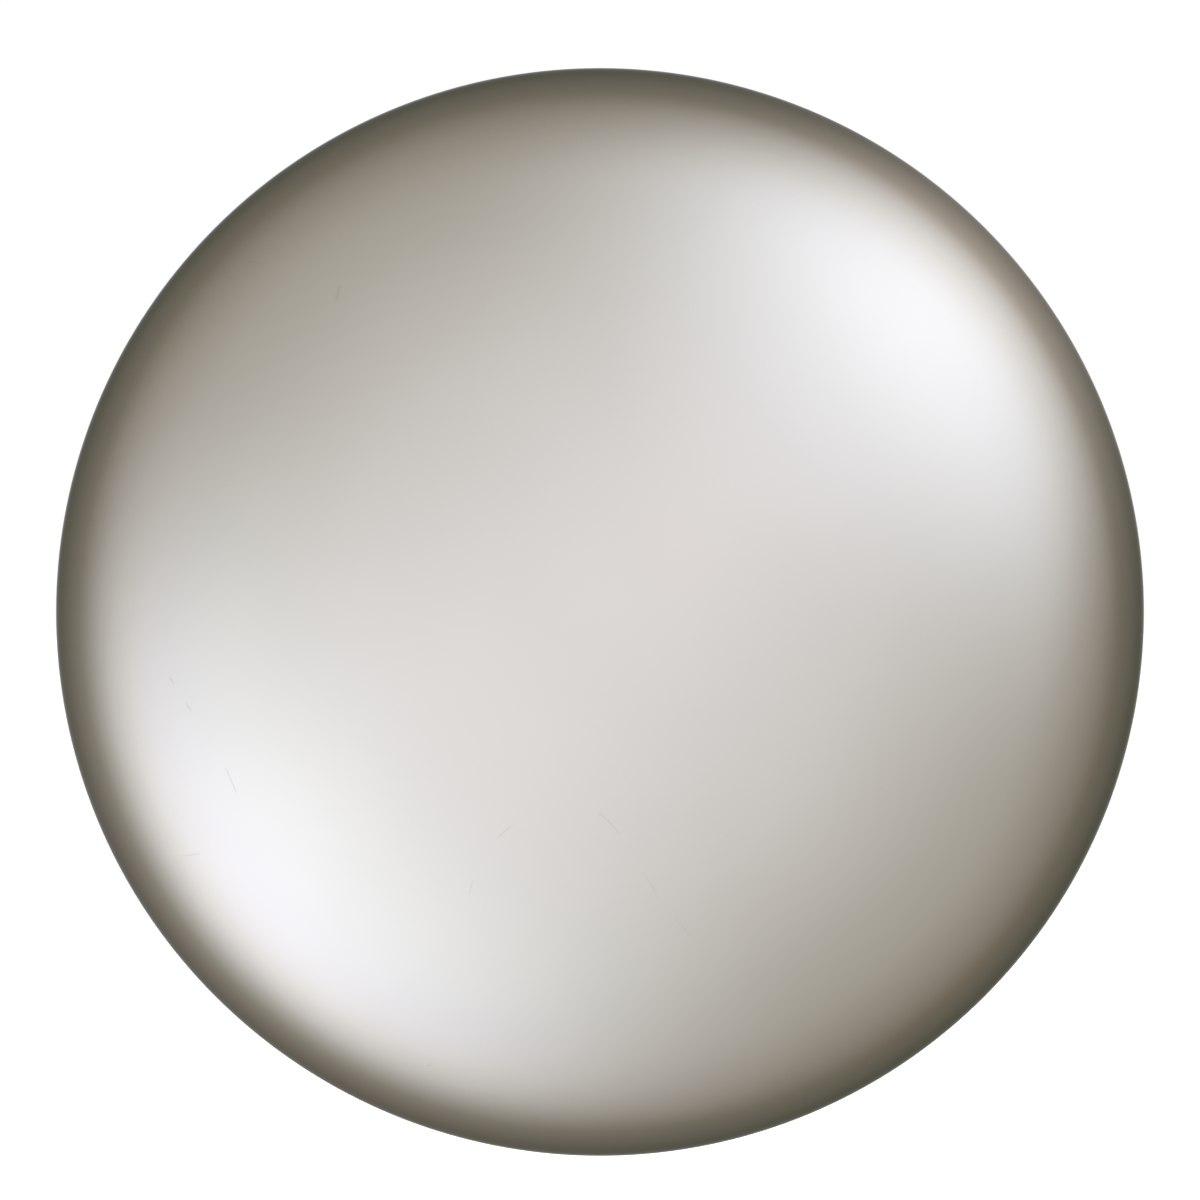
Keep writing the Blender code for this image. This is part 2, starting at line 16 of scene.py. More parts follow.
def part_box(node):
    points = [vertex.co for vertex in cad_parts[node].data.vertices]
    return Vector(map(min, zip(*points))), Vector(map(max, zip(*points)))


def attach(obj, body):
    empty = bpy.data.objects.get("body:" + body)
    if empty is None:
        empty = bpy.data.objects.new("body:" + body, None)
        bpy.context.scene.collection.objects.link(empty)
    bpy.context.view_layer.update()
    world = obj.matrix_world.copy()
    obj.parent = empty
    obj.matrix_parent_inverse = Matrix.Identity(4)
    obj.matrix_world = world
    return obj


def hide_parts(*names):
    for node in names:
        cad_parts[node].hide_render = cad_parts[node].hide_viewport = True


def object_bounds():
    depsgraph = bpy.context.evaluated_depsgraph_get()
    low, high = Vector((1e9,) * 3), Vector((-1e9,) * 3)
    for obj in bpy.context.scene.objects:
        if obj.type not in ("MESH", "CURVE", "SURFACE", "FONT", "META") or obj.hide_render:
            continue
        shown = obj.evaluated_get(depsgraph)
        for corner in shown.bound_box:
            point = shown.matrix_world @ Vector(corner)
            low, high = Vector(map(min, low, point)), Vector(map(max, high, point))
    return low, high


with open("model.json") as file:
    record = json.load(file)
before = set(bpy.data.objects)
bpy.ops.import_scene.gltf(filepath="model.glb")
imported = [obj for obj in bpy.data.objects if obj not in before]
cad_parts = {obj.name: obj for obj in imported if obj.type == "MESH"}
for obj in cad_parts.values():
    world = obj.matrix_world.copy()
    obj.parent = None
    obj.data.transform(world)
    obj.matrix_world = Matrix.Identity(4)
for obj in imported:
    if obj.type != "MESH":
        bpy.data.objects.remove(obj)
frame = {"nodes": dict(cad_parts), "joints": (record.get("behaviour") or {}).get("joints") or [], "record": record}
cad_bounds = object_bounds()

# -------------------- sizes

WALL_BODY = "wall_bracket"
KNUCKLE_BODY = "knuckle"
HEAD_BODY = "mirror_head"

JOINT_AT = {joint["name"]: Vector(joint["pos_m"]) for joint in frame["joints"]}
PAN_AXIS = JOINT_AT["pan"]
TILT_AXIS = JOINT_AT["tilt"]

# Mirror face: a shallow dome that tightens towards its edge, a skirt and an inward flange.
_, FACE_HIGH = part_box("mirror_face")
MIRROR_RADIUS = FACE_HIGH.x
DOME_RADIUS = 0.700  # of curvature, over the middle of the dome
EDGE_RADIUS = 0.034  # of curvature, where the edge turns back
EASE_START = math.radians(12)  # slope at which the dome's curvature starts to tighten
EASE_END = math.radians(47.7)  # slope at which it has become the edge's
FACE_SHEET = 0.0010
SKIRT_LENGTH = 0.010
FLANGE_BEND = 0.005
FLANGE_INNER = 0.279
RIM_PLANE = FACE_HIGH.y - SKIRT_LENGTH - FLANGE_BEND

# Back shell, measured from its hub face.
SHELL_LOW, SHELL_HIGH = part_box("back_shell")
SHELL_WALL = 0.0025
SHELL_OUTER = SHELL_HIGH.x
SHELL_RISE = 0.042
SHELL_FLANGE = -SHELL_RISE
HUB_FACE = SHELL_LOW.y + SHELL_RISE + SHELL_WALL
HUB_RADIUS = 0.100
HUB_GROOVE = 0.1065
CROWN_RADIUS = 0.268
CROWN_DROP = 0.020
CROWN_POWER = 1.7
STEP_RADIUS = 0.276
STEP_HEIGHT = 0.011
RIB_COUNT = 10
RIB_HEIGHT = 0.0038
RIB_START = 0.112
RIB_END = 0.256
RIB_FADE = 0.014  # over which a rib rises at each end
RIB_HALF_ANGLE = 7.8  # degrees
RIB_FLANK = 1.4  # degrees

# Fasteners: (shank radius, half across flats, head height, nut height, thread pitch)
M12 = (0.006, 0.009, 0.0075, 0.0100, 0.00175)
M8 = (0.004, 0.0065, 0.0053, 0.0068, 0.00125)
BORE_GAP = 0.0003
THROUGH = 0.1  # how far a cutter reaches, past anything that it cuts
PIVOT_BORE = 0.0066
HUB_DRILL = M8[0] + 0.00045
RIVET_COUNT = 12
RIVET_DRILL = 0.00285
RIVET_DRILL_REACH = 0.006  # short enough to spare the dome in front of the flange
VENT_DRILL = 0.0063
PIVOT_THREAD = 0.024
HUB_THREAD = 0.016

# Brackets.
PLATE = 0.005
WALL_PLATE = 0.006
WALL_CORNER = 0.015
SLOT_HALF_WIDTH = 0.00525
SLOT_HALF_LENGTH = 0.012
FORK_INNER = 0.027
FORK_TOP = FORK_INNER + PLATE
FORK_NOSE = 0.022
FORK_ROOT_HALF_WIDTH = 0.0395
CHEEK_X = 0.024
CHEEK_REACH = 0.058
CHEEK_CUT = 0.030  # radius of the round notch in each cheek
GUSSET_TOP = 0.076
GUSSET_REACH = 0.074
GUSSET_LIP = 0.006
EAR_INNER = 0.026
EAR_NOSE = 0.019
EAR_ROOT_HALF_HEIGHT = 0.040
BEND_INNER = 0.003
FOOT_WIDTH = 0.040
FOOT_HALF_HEIGHT = 0.055
FOOT_CORNER = 0.006
HUB_BOLT_X = 0.050
HUB_BOLT_Z = 0.040
SLEEVE = 0.015
NECK_HALF_WIDTH = 0.010
NECK_HALF_HEIGHT = 0.0105
KNUCKLE_RIB = 0.007
CASTING_DETAIL = 0.0008  # size of the remesh that rounds the casting's corners
WELD_LEG = 0.0034
WELD_RIPPLE = 0.0021
WELD_STOP = 0.002  # how far short of an edge a weld stops


# -------------------- mesh tools


def mesh_from(bm, sharp=35):
    """The bmesh as a smooth mesh with outward normals, sharp where faces meet at a real edge."""
    bmesh.ops.recalc_face_normals(bm, faces=bm.faces)
    mesh = bpy.data.meshes.new("shape")
    bm.to_mesh(mesh)
    bm.free()
    mesh.shade_smooth()
    mesh.set_sharp_from_angle(angle=math.radians(sharp))
    return mesh


def skin(rings, closed=False, sharp=35):
    """A mesh through rings of points. A ring of one point is a pole, and closed joins the last
    ring to the first."""
    bm = bmesh.new()
    rows = [[bm.verts.new(point) for point in ring] for ring in rings]
    pairs = list(zip(rows, rows[1:]))
    if closed:
        pairs.append((rows[-1], rows[0]))
    for one, two in pairs:
        for i in range(max(len(one), len(two))):
            j = i + 1
            corners = (one[i % len(one)], one[j % len(one)], two[j % len(two)], two[i % len(two)])
            bm.faces.new(list(dict.fromkeys(corners)))
    return mesh_from(bm, sharp)


def turns(count):
    """Angles in radians, evenly round a circle."""
    return [2 * math.pi * i / count for i in range(count)]


def ring(radius, height, angles):
    """A circle of points about +Z, or one point where the radius is nothing."""
    if radius < 1e-9:
        return [(0, 0, height)]
    return [(radius * math.cos(a), radius * math.sin(a), height) for a in angles]


def lathe(profile, count, sharp=35):
    """A closed solid turned about +Z from a profile of (radius, height) points. A profile that
    starts and ends on the axis is capped there, and any other is a ring."""
    angles = turns(count)
    on_axis = profile[0][0] < 1e-9
    return skin([ring(r, h, angles) for r, h in profile], closed=not on_axis, sharp=sharp)


def arc(centre, radius, start, end, steps):
    """Points on an arc in a plane, angles in degrees, both ends included."""
    angles = [math.radians(start + (end - start) * i / steps) for i in range(steps + 1)]
    return [(centre[0] + radius * math.cos(a), centre[1] + radius * math.sin(a)) for a in angles]


def circle(centre, radius):
    """A hole's outline in a plane."""
    return arc(centre, radius, 0, 352.5, 47)


def rounded(corners, steps=4):
    """An outline whose corners, given as (u, v, cut), are rounded off by cut along each side."""
    outline = []
    for i, (u, v, cut) in enumerate(corners):
        here = Vector((u, v))
        before = Vector(corners[i - 1][:2]) - here
        after = Vector(corners[(i + 1) % len(corners)][:2]) - here
        if cut == 0:
            outline.append((u, v))
            continue
        start = here + before.normalized() * min(cut, before.length * 0.49)
        end = here + after.normalized() * min(cut, after.length * 0.49)
        for step in range(steps + 1):
            t = step / steps
            outline.append(tuple(start * (1 - t) ** 2 + here * 2 * t * (1 - t) + end * t**2))
    return outline


def prism(outline, start, end, normal="Z"):
    """A flat outline extruded from start to end along the axis named by normal. Its two
    coordinates are the other two axes, in X, Y, Z order."""
    spread = {
        "X": lambda u, v, w: (w, u, v),
        "Y": lambda u, v, w: (u, w, v),
        "Z": lambda u, v, w: (u, v, w),
    }[normal]
    bm = bmesh.new()
    face = bm.faces.new([bm.verts.new(spread(u, v, start)) for u, v in outline])
    grown = bmesh.ops.extrude_face_region(bm, geom=[face])["geom"]
    far_end = [g for g in grown if isinstance(g, bmesh.types.BMVert)]
    bmesh.ops.translate(bm, verts=far_end, vec=Vector(spread(0, 0, end - start)))
    return mesh_from(bm)


def in_scene(name, data):
    """A new object, linked to the scene."""
    made = bpy.data.objects.new(name, data)
    bpy.context.scene.collection.objects.link(made)
    return made


def boolean(base, others, operation):
    """base joined with, cut by or limited to each other mesh in turn."""
    body = in_scene("body", base)
    for other in others:
        tool = in_scene("tool", other)
        step = body.modifiers.new("step", "BOOLEAN")
        step.operation = operation
        step.object = tool
        body.data = evaluated(body)
        body.modifiers.clear()
        bpy.data.objects.remove(tool)
    mesh = body.data
    bpy.data.objects.remove(body)
    mesh.shade_smooth()
    mesh.set_sharp_from_angle(angle=math.radians(35))
    return mesh


def evaluated(thing):
    graph = bpy.context.evaluated_depsgraph_get()
    graph.update()
    return bpy.data.meshes.new_from_object(thing.evaluated_get(graph))


def joined(meshes):
    """Separate closed shapes as one mesh."""
    bm = bmesh.new()
    for mesh in meshes:
        bm.from_mesh(mesh)
    return mesh_from(bm)


def smoothstep(value):
    t = min(max(value, 0.0), 1.0)
    return t * t * (3 - 2 * t)


# -------------------- placing pieces


def add(name, mesh, body, look, nodes=(), at=None):
    """One shown piece: its material, the body it rides on and the CAD nodes that it stands for,
    which it hides. The slot in its look is not used."""
    finish, slot = look
    if not mesh.materials:
        mesh.materials.append(finish)
    piece = in_scene(name, mesh)
    if at is not None:
        piece.matrix_world = at
    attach(piece, body)
    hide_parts(*nodes)
    return piece


def soften_edges(piece, width):
    """Rounds a pressed or sawn piece's edges, and keeps its flats flat."""
    bevel = piece.modifiers.new("edges", "BEVEL")
    bevel.width = width
    bevel.segments = 2
    bevel.limit_method = "ANGLE"
    bevel.angle_limit = math.radians(40)
    flats = piece.modifiers.new("flats", "WEIGHTED_NORMAL")
    flats.keep_sharp = False


def along(node, direction):
    """Where a turned piece starts on its CAD node, looking along a row axis, and how long it is."""
    low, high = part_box(node)
    middle = (low + high) / 2
    axis = Vector(direction)
    length = abs((high - low).dot(axis))
    turn = axis.to_track_quat("Z", "Y").to_matrix().to_4x4()
    return Matrix.Translation(middle - axis * length / 2) @ turn, length


# -------------------- material tools


class Graph:
    """A node tree under construction. A value may be a number, a colour or another node's output."""

    def __init__(self, tree):
        self.tree = tree

    def node(self, kind, settings=(), **inputs):
        made = self.tree.nodes.new(kind)
        for key, value in dict(settings).items():
            setattr(made, key, value)
        for key, value in inputs.items():
            self.feed(made.inputs[key.replace("_", " ")], value)
        return made

    def feed(self, socket, value):
        if isinstance(value, bpy.types.NodeSocket):
            self.tree.links.new(value, socket)
        elif isinstance(value, tuple) and len(value) == 3 and len(socket.default_value) == 4:
            socket.default_value = (*value, 1.0)
        else:
            socket.default_value = value

    def between(self, value, low, high, to_low=0.0, to_high=1.0):
        """value, from low to high, as a number from to_low to to_high."""
        made = self.node("ShaderNodeMapRange", Value=value)
        for index, number in enumerate((low, high, to_low, to_high), 1):
            made.inputs[index].default_value = number
        return made.outputs["Result"]

    def maths(self, operation, one, two=0.0):
        made = self.node("ShaderNodeMath", {"operation": operation})
        self.feed(made.inputs[0], one)
        self.feed(made.inputs[1], two)
        return made.outputs["Value"]

    def mix(self, amount, one, two, blend="MIX"):
        made = self.node("ShaderNodeMix", {"data_type": "RGBA", "blend_type": blend})
        self.feed(made.inputs[0], amount)
        self.feed(made.inputs[6], one)
        self.feed(made.inputs[7], two)
        return made.outputs[2]


class Recipe(Graph):
    """A Principled material, whose textures lie in the piece's own coordinates."""

    def __init__(self, name, **values):
        self.material = bpy.data.materials.new(name)
        self.material.use_nodes = True
        super().__init__(self.material.node_tree)
        self.shader = self.tree.nodes["Principled BSDF"]
        self.place = self.tree.nodes.new("ShaderNodeTexCoord").outputs["Object"]
        self.set(**values)

    def set(self, **inputs):
        for key, value in inputs.items():
            self.feed(self.shader.inputs[key.replace("_", " ")], value)

    def noise(self, scale, detail=2.0, roughness=0.5, distortion=0.0, vector=None):
        made = self.node(
            "ShaderNodeTexNoise",
            Vector=vector or self.place,
            Scale=scale,
            Detail=detail,
            Roughness=roughness,
            Distortion=distortion,
        )
        return made.outputs["Fac"]

    def cells(self, scale, output="Color"):
        return self.node("ShaderNodeTexVoronoi", Vector=self.place, Scale=scale).outputs[output]

    def stretched(self, scale):
        return self.node("ShaderNodeMapping", Vector=self.place, Scale=scale).outputs["Vector"]

    def bump(self, height, distance, normal=None):
        made = self.node("ShaderNodeBump", Height=height, Distance=distance)
        if normal is not None:
            self.feed(made.inputs["Normal"], normal)
        return made.outputs["Normal"]


# -------------------- materials


def polished_steel():
    """Warm polished sheet: a hazed reflection, faint cloudiness, short hairlines and specks."""
    r = Recipe("polished_steel", Metallic=1.0)
    cloud = r.noise(5.0, detail=3.0)
    colour = r.mix(r.between(cloud, 0.35, 0.65), (0.800, 0.775, 0.742), (0.825, 0.802, 0.772))

    contour = r.maths("ABSOLUTE", r.maths("SUBTRACT", r.noise(4.2, detail=0.0, distortion=0.6), 0.5))
    patches = r.between(r.noise(64.0, detail=0.0), 0.68, 0.73)
    hairline = r.maths("MULTIPLY", r.between(contour, 0.0, 0.0020, 1.0, 0.0), patches)

    speck_spacing = 55.0
    from_centre = r.cells(speck_spacing, "Distance")
    chosen = r.between(r.cells(speck_spacing), 0.80, 0.82)
    speck = r.maths("MULTIPLY", r.between(from_centre, 0.020, 0.045, 1.0, 0.0), chosen)

    marks = r.maths("MAXIMUM", hairline, speck)
    colour = r.mix(r.maths("MULTIPLY", marks, 0.24), colour, (0.62, 0.60, 0.56))
    haze = r.between(r.noise(14.0, detail=4.0), 0.3, 0.7, 0.150, 0.175)
    r.set(Base_Color=colour, Roughness=r.maths("ADD", haze, r.maths("MULTIPLY", marks, 0.10)))
    r.set(Normal=r.bump(r.noise(70.0, detail=2.0), 0.00002))
    return r.material


def galvanised_steel(name="galvanised_steel", spangle=210.0, rough=0.0):
    """Hot-dip zinc: crystals of a few millimetres, dulled patches and a slightly lumpy surface."""
    r = Recipe(name, Metallic=0.65)
    tone = r.between(r.cells(spangle), 0.0, 1.0)
    feather = r.noise(spangle * 9, detail=2.0, vector=r.stretched((1.0, 0.25, 0.25)))
    tone = r.maths("ADD", tone, r.between(feather, 0.3, 0.7, -0.25, 0.25))
    colour = r.mix(tone, (0.52, 0.54, 0.56), (0.72, 0.74, 0.76))
    patch = r.between(r.noise(16.0, detail=5.0, roughness=0.6), 0.48, 0.66)
    colour = r.mix(r.maths("MULTIPLY", patch, 0.55), colour, (0.60, 0.61, 0.61))
    grime = r.between(r.noise(38.0, detail=6.0, roughness=0.7), 0.56, 0.72)
    colour = r.mix(r.maths("MULTIPLY", grime, 0.45), colour, (0.30, 0.29, 0.27))
    dull = r.between(tone, 0.0, 1.0, 0.30 + rough, 0.42 + rough)
    r.set(Base_Color=colour, Roughness=r.maths("ADD", dull, r.maths("MULTIPLY", patch, 0.10)))
    lumps = r.bump(r.noise(120.0, detail=3.0), 0.00012)
    r.set(Normal=r.bump(tone, 0.00004, normal=lumps))
    return r.material


def zinc_plate():
    """Bright zinc on turned and forged fasteners, with a faint yellow and blue cast."""
    r = Recipe("zinc_plate", Metallic=1.0)
    cast = r.between(r.noise(140.0, detail=2.0), 0.4, 0.6)
    colour = r.mix(cast, (0.62, 0.64, 0.68), (0.70, 0.68, 0.62))
    stain = r.between(r.noise(260.0, detail=6.0, roughness=0.7), 0.55, 0.75)
    colour = r.mix(r.maths("MULTIPLY", stain, 0.5), colour, (0.36, 0.35, 0.33))
    r.set(Base_Color=colour, Roughness=r.between(r.noise(320.0, detail=4.0), 0.3, 0.7, 0.24, 0.42))
    r.set(Normal=r.bump(r.noise(900.0, detail=2.0), 0.00003))
    return r.material


def cast_aluminium():
    """Blasted casting: a fine grain, with painted shade darkening its hollows and a painted highlight brightening
    its edges.
    """
    r = Recipe("cast_aluminium", Metallic=0.95)
    # Painted shade and highlight: the colour follows the mesh's pointiness, darker in hollows and lighter on
    # edges.
    edge = r.node("ShaderNodeNewGeometry").outputs["Pointiness"]
    colour = r.mix(r.between(edge, 0.46, 0.55), (0.42, 0.43, 0.44), (0.70, 0.71, 0.72))
    stain = r.between(r.noise(60.0, detail=5.0, roughness=0.6), 0.5, 0.75)
    colour = r.mix(r.maths("MULTIPLY", stain, 0.35), colour, (0.38, 0.38, 0.37))
    r.set(Base_Color=colour, Roughness=r.between(r.noise(500.0, detail=3.0), 0.3, 0.7, 0.44, 0.60))
    coarse = r.bump(r.noise(420.0, detail=3.0), 0.00020)
    r.set(Normal=r.bump(r.noise(1500.0, detail=2.0), 0.00010, normal=coarse))
    return r.material


def shell_plastic():
    """Grey moulded plastic with a fine leather grain, a little chalking and settled dust."""
    r = Recipe("shell_plastic", Specular_IOR_Level=0.4)
    drift = r.between(r.noise(7.0, detail=4.0), 0.35, 0.65)
    colour = r.mix(drift, (0.120, 0.125, 0.130), (0.150, 0.154, 0.158))
    streak = r.noise(30.0, detail=4.0, vector=r.stretched((1.0, 0.35, 0.12)))
    chalk = r.between(streak, 0.52, 0.74)
    colour = r.mix(r.maths("MULTIPLY", chalk, 0.12), colour, (0.27, 0.27, 0.26))
    grain = r.noise(1600.0, detail=2.0)
    dull = r.between(grain, 0.3, 0.7, 0.46, 0.58)
    r.set(Base_Color=colour, Roughness=r.maths("ADD", dull, r.maths("MULTIPLY", chalk, 0.10)))
    pores = r.bump(r.cells(900.0, "Distance"), 0.00014)
    r.set(Normal=r.bump(grain, 0.00008, normal=pores))
    return r.material


def black_rubber():
    """Matt EPDM with a bloom of dust."""
    r = Recipe("black_rubber", Specular_IOR_Level=0.35)
    bloom = r.between(r.noise(90.0, detail=5.0, roughness=0.65), 0.45, 0.75)
    r.set(Base_Color=r.mix(bloom, (0.018, 0.018, 0.019), (0.055, 0.054, 0.052)))
    r.set(Roughness=r.between(bloom, 0.0, 1.0, 0.62, 0.85))
    r.set(Normal=r.bump(r.noise(1400.0, detail=3.0), 0.00006))
    return r.material


def natural_nylon():
    """Off-white nylon, slightly scuffed."""
    r = Recipe("natural_nylon", Specular_IOR_Level=0.45)
    scuff = r.between(r.noise(300.0, detail=5.0, roughness=0.7), 0.5, 0.75)
    r.set(Base_Color=r.mix(scuff, (0.78, 0.76, 0.69), (0.60, 0.57, 0.50)))
    r.set(Roughness=r.between(scuff, 0.0, 1.0, 0.38, 0.60))
    r.set(Normal=r.bump(r.noise(1200.0, detail=2.0), 0.00003))
    return r.material


def pale_floor():
    r = Recipe("pale_floor", Roughness=0.9, Specular_IOR_Level=0.1)
    cloud = r.between(r.noise(0.8, detail=3.0), 0.3, 0.7)
    r.set(Base_Color=r.mix(cloud, (0.90, 0.90, 0.90), (0.92, 0.92, 0.92)))
    return r.material


# Each look is a material and the slot that it fills.
STEEL = (polished_steel(), "mirror_steel")
GALVANISED = (galvanised_steel(), "galvanised_steel")
WELD = (galvanised_steel("galvanised_weld", spangle=420.0, rough=0.06), "galvanised_steel")
ZINC = (zinc_plate(), "zinc_fastener")
CASTING = (cast_aluminium(), "cast_aluminium")
PLASTIC = (shell_plastic(), "shell_plastic")
RUBBER = (black_rubber(), "seal_rubber")
NYLON = (natural_nylon(), "friction_nylon")


# -------------------- mirror face


def face_profile(inset, step):
    """One side of the sheet from the apex to the flange, as (radius, depth behind the rim), with a
    point for each step of slope in degrees. The radius of curvature eases from the dome's to the
    edge's between two slopes."""
    pieces = 24
    small = math.radians(step / pieces)
    radius = depth = 0.0
    track = [(radius, depth, 0.0)]
    for i in range(round(90 / step) * pieces):
        slope = small * (i + 0.5)
        ease = smoothstep((slope - EASE_START) / (EASE_END - EASE_START))
        curvature_radius = DOME_RADIUS * (EDGE_RADIUS / DOME_RADIUS) ** ease
        radius += curvature_radius * math.cos(slope) * small
        depth += curvature_radius * math.sin(slope) * small
        if (i + 1) % pieces == 0:
            track.append((radius, depth, small * (i + 1)))
    fit = MIRROR_RADIUS / radius
    dome = [(r * fit - inset * math.sin(a), (d - depth) * fit + inset * math.cos(a)) for r, d, a in track]
    bend_centre = (MIRROR_RADIUS - FLANGE_BEND, SKIRT_LENGTH)
    bend = arc(bend_centre, FLANGE_BEND - inset, 0, 90, 8)
    back = SKIRT_LENGTH + FLANGE_BEND - inset
    return [*dome, *bend, (FLANGE_INNER, back)]


def centre_of(node):
    """The middle of a CAD node as (x, z), seen along the mirror's axis."""
    low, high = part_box(node)
    return ((low.x + high.x) / 2, (low.z + high.z) / 2)


def drills(outlines, height, reach):
    """Cutters for holes along Y, from reach in front of a height to reach behind it."""
    return [prism(outline, height - reach, height + reach, "Y") for outline in outlines]


def rivet_drills(height):
    nodes = [f"rim_rivet_{number:02d}" for number in range(1, RIVET_COUNT + 1)]
    outlines = [arc(centre_of(node), RIVET_DRILL, 0, 345, 23) for node in nodes]
    return drills(outlines, height, RIVET_DRILL_REACH)


def drilled_turning(profile, count, front, flange, sharp=35):
    """A part turned about the mirror's axis, its +Z towards the wall from a front plane, and
    drilled for the rivets through its flange."""
    part = lathe(profile, count, sharp)
    part.transform(Matrix.Translation((0, front, 0)) @ Matrix.Rotation(math.radians(-90), 4, "X"))
    return boolean(part, [joined(rivet_drills(flange))], "DIFFERENCE")


def build_face():
    profile = face_profile(0, 0.75) + face_profile(FACE_SHEET, 3)[::-1]
    sheet = drilled_turning(profile, 288, RIM_PLANE, FACE_HIGH.y, sharp=50)
    add("mirror_face_polished", sheet, HEAD_BODY, STEEL, ["mirror_face"])


# -------------------- back of the head


def build_gasket():
    low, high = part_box("rim_gasket")
    thick = high.y - low.y
    outer = high.x
    inner = FLANGE_INNER + 0.001
    bulge = corner = 0.0008
    profile = rounded(
        [
            (inner, 0, corner),
            (outer - bulge, 0, corner),
            (outer, thick / 2, 0.0010),
            (outer - bulge, thick, corner),
            (inner, thick, corner),
        ]
    )
    strip = drilled_turning(profile, 240, low.y, low.y)
    add("rim_gasket_strip", strip, HEAD_BODY, RUBBER, ["rim_gasket"])


def crown_depth(radius):
    """Depth of the crown from the hub face, out to the shoulder."""
    t = min(max((radius - HUB_RADIUS) / (CROWN_RADIUS - HUB_RADIUS), 0), 1)
    return -CROWN_DROP * t**CROWN_POWER


def shell_profile():
    """The shell's outside from the hub centre to the flange's edge, with rounded corners."""
    corners = [
        (0, 0, 0),
        (0.030, 0, 0),
        (0.060, 0, 0),
        (HUB_GROOVE - 0.0040, 0, 0.0020),
        (HUB_GROOVE - 0.0015, -0.0012, 0.0012),
        (HUB_GROOVE + 0.0015, -0.0012, 0.0012),
        (HUB_GROOVE + 0.0040, crown_depth(HUB_GROOVE + 0.0040), 0.0020),
    ]
    crown = [RIB_START + (CROWN_RADIUS - RIB_START) * i / 40 for i in range(41)]
    corners += [(radius, crown_depth(radius), 0) for radius in crown[:-1]]
    corners += [
        (CROWN_RADIUS, crown_depth(CROWN_RADIUS), 0.0035),
        (STEP_RADIUS, SHELL_FLANGE + STEP_HEIGHT, 0.0040),
        (STEP_RADIUS + 0.005, SHELL_FLANGE, 0.0035),
        (SHELL_OUTER, SHELL_FLANGE, 0),
    ]
    return rounded(corners, 5)


def rib_lift(radius, angle):
    """How far a radial rib stands out of the shell at a point."""
    period = 360 / RIB_COUNT
    away = abs((math.degrees(angle) + period / 2) % period - period / 2)
    across = smoothstep((RIB_HALF_ANGLE - away) / RIB_FLANK)
    ends = min(radius - RIB_START, RIB_END - radius) / RIB_FADE
    return RIB_HEIGHT * across * smoothstep(ends)


def shell_columns():
    """Angles round the shell, close together on each rib's flanks."""
    half = [0, 2.4, 4.4, 5.8, 6.3, 6.6, 6.85, 7.1, 7.35, 7.6, 7.9, 8.4, 9.6, 11.5, 14.5]
    period = 360 / RIB_COUNT
    one_rib = [-a for a in half[:0:-1]] + half + [period / 2]
    return [math.radians(period * i + a) for i in range(RIB_COUNT) for a in one_rib]


def shell_ring(radius, depth, columns):
    if radius < 1e-9:
        return [(0, depth, 0)]
    return [(radius * math.cos(a), depth + rib_lift(radius, a), radius * math.sin(a)) for a in columns]


def build_shell():
    columns = shell_columns()
    outside = shell_profile()
    inside = [(max(r - SHELL_WALL * 0.3, 0), y - SHELL_WALL) for r, y in outside[:-1]]
    lip = 0.004
    corner = 0.0008
    edge = rounded(
        [
            (SHELL_OUTER - lip, SHELL_FLANGE, 0),
            (SHELL_OUTER, SHELL_FLANGE, corner),
            (SHELL_OUTER, SHELL_FLANGE - SHELL_WALL, corner),
            (SHELL_OUTER - lip, SHELL_FLANGE - SHELL_WALL, 0),
        ],
        3,
    )
    line = outside[:-1] + edge + inside[::-1]
    shell = skin([shell_ring(radius, depth, columns) for radius, depth in line])
    shell.transform(Matrix.Translation((0, HUB_FACE, 0)))
    holes = [circle((sx * HUB_BOLT_X, sz * HUB_BOLT_Z), HUB_DRILL) for sx in (-1, 1) for sz in (-1, 1)]
    holes += [circle(centre_of(f"breather_vent_{side}"), VENT_DRILL) for side in ("left", "right")]
    cutters = rivet_drills(HUB_FACE + SHELL_FLANGE) + drills(holes, HUB_FACE, THROUGH)
    shell = boolean(shell, [joined(cutters)], "DIFFERENCE")
    add("back_shell_moulding", shell, HEAD_BODY, PLASTIC, ["back_shell"])


def build_rivets():
    forward = (0, -1, 0)
    _, length = along("rim_rivet_01", forward)
    profile = rounded(
        [
            (0, 0.0011, 0),
            (0.0010, 0.0011, 0.0002),
            (0.0013, 0.0001, 0.0003),
            (0.0030, 0.0002, 0.0008),
            (0.0050, 0.0013, 0.0006),
            (0.0050, 0.0018, 0.0002),
            (0.0024, 0.0018, 0.0002),
            (0.0024, length - 0.0045, 0.0002),
            (0.00348, length - 0.0035, 0.0006),
            (0.00348, length - 0.0015, 0.0010),
            (0.0017, length, 0.0006),
            (0, length, 0),
        ],
        3,
    )
    rivet = lathe(profile, 32)
    for number in range(1, RIVET_COUNT + 1):
        node = f"rim_rivet_{number:02d}"
        place, _ = along(node, forward)
        add(f"blind_rivet_{number:02d}", rivet, HEAD_BODY, ZINC, [node], place)


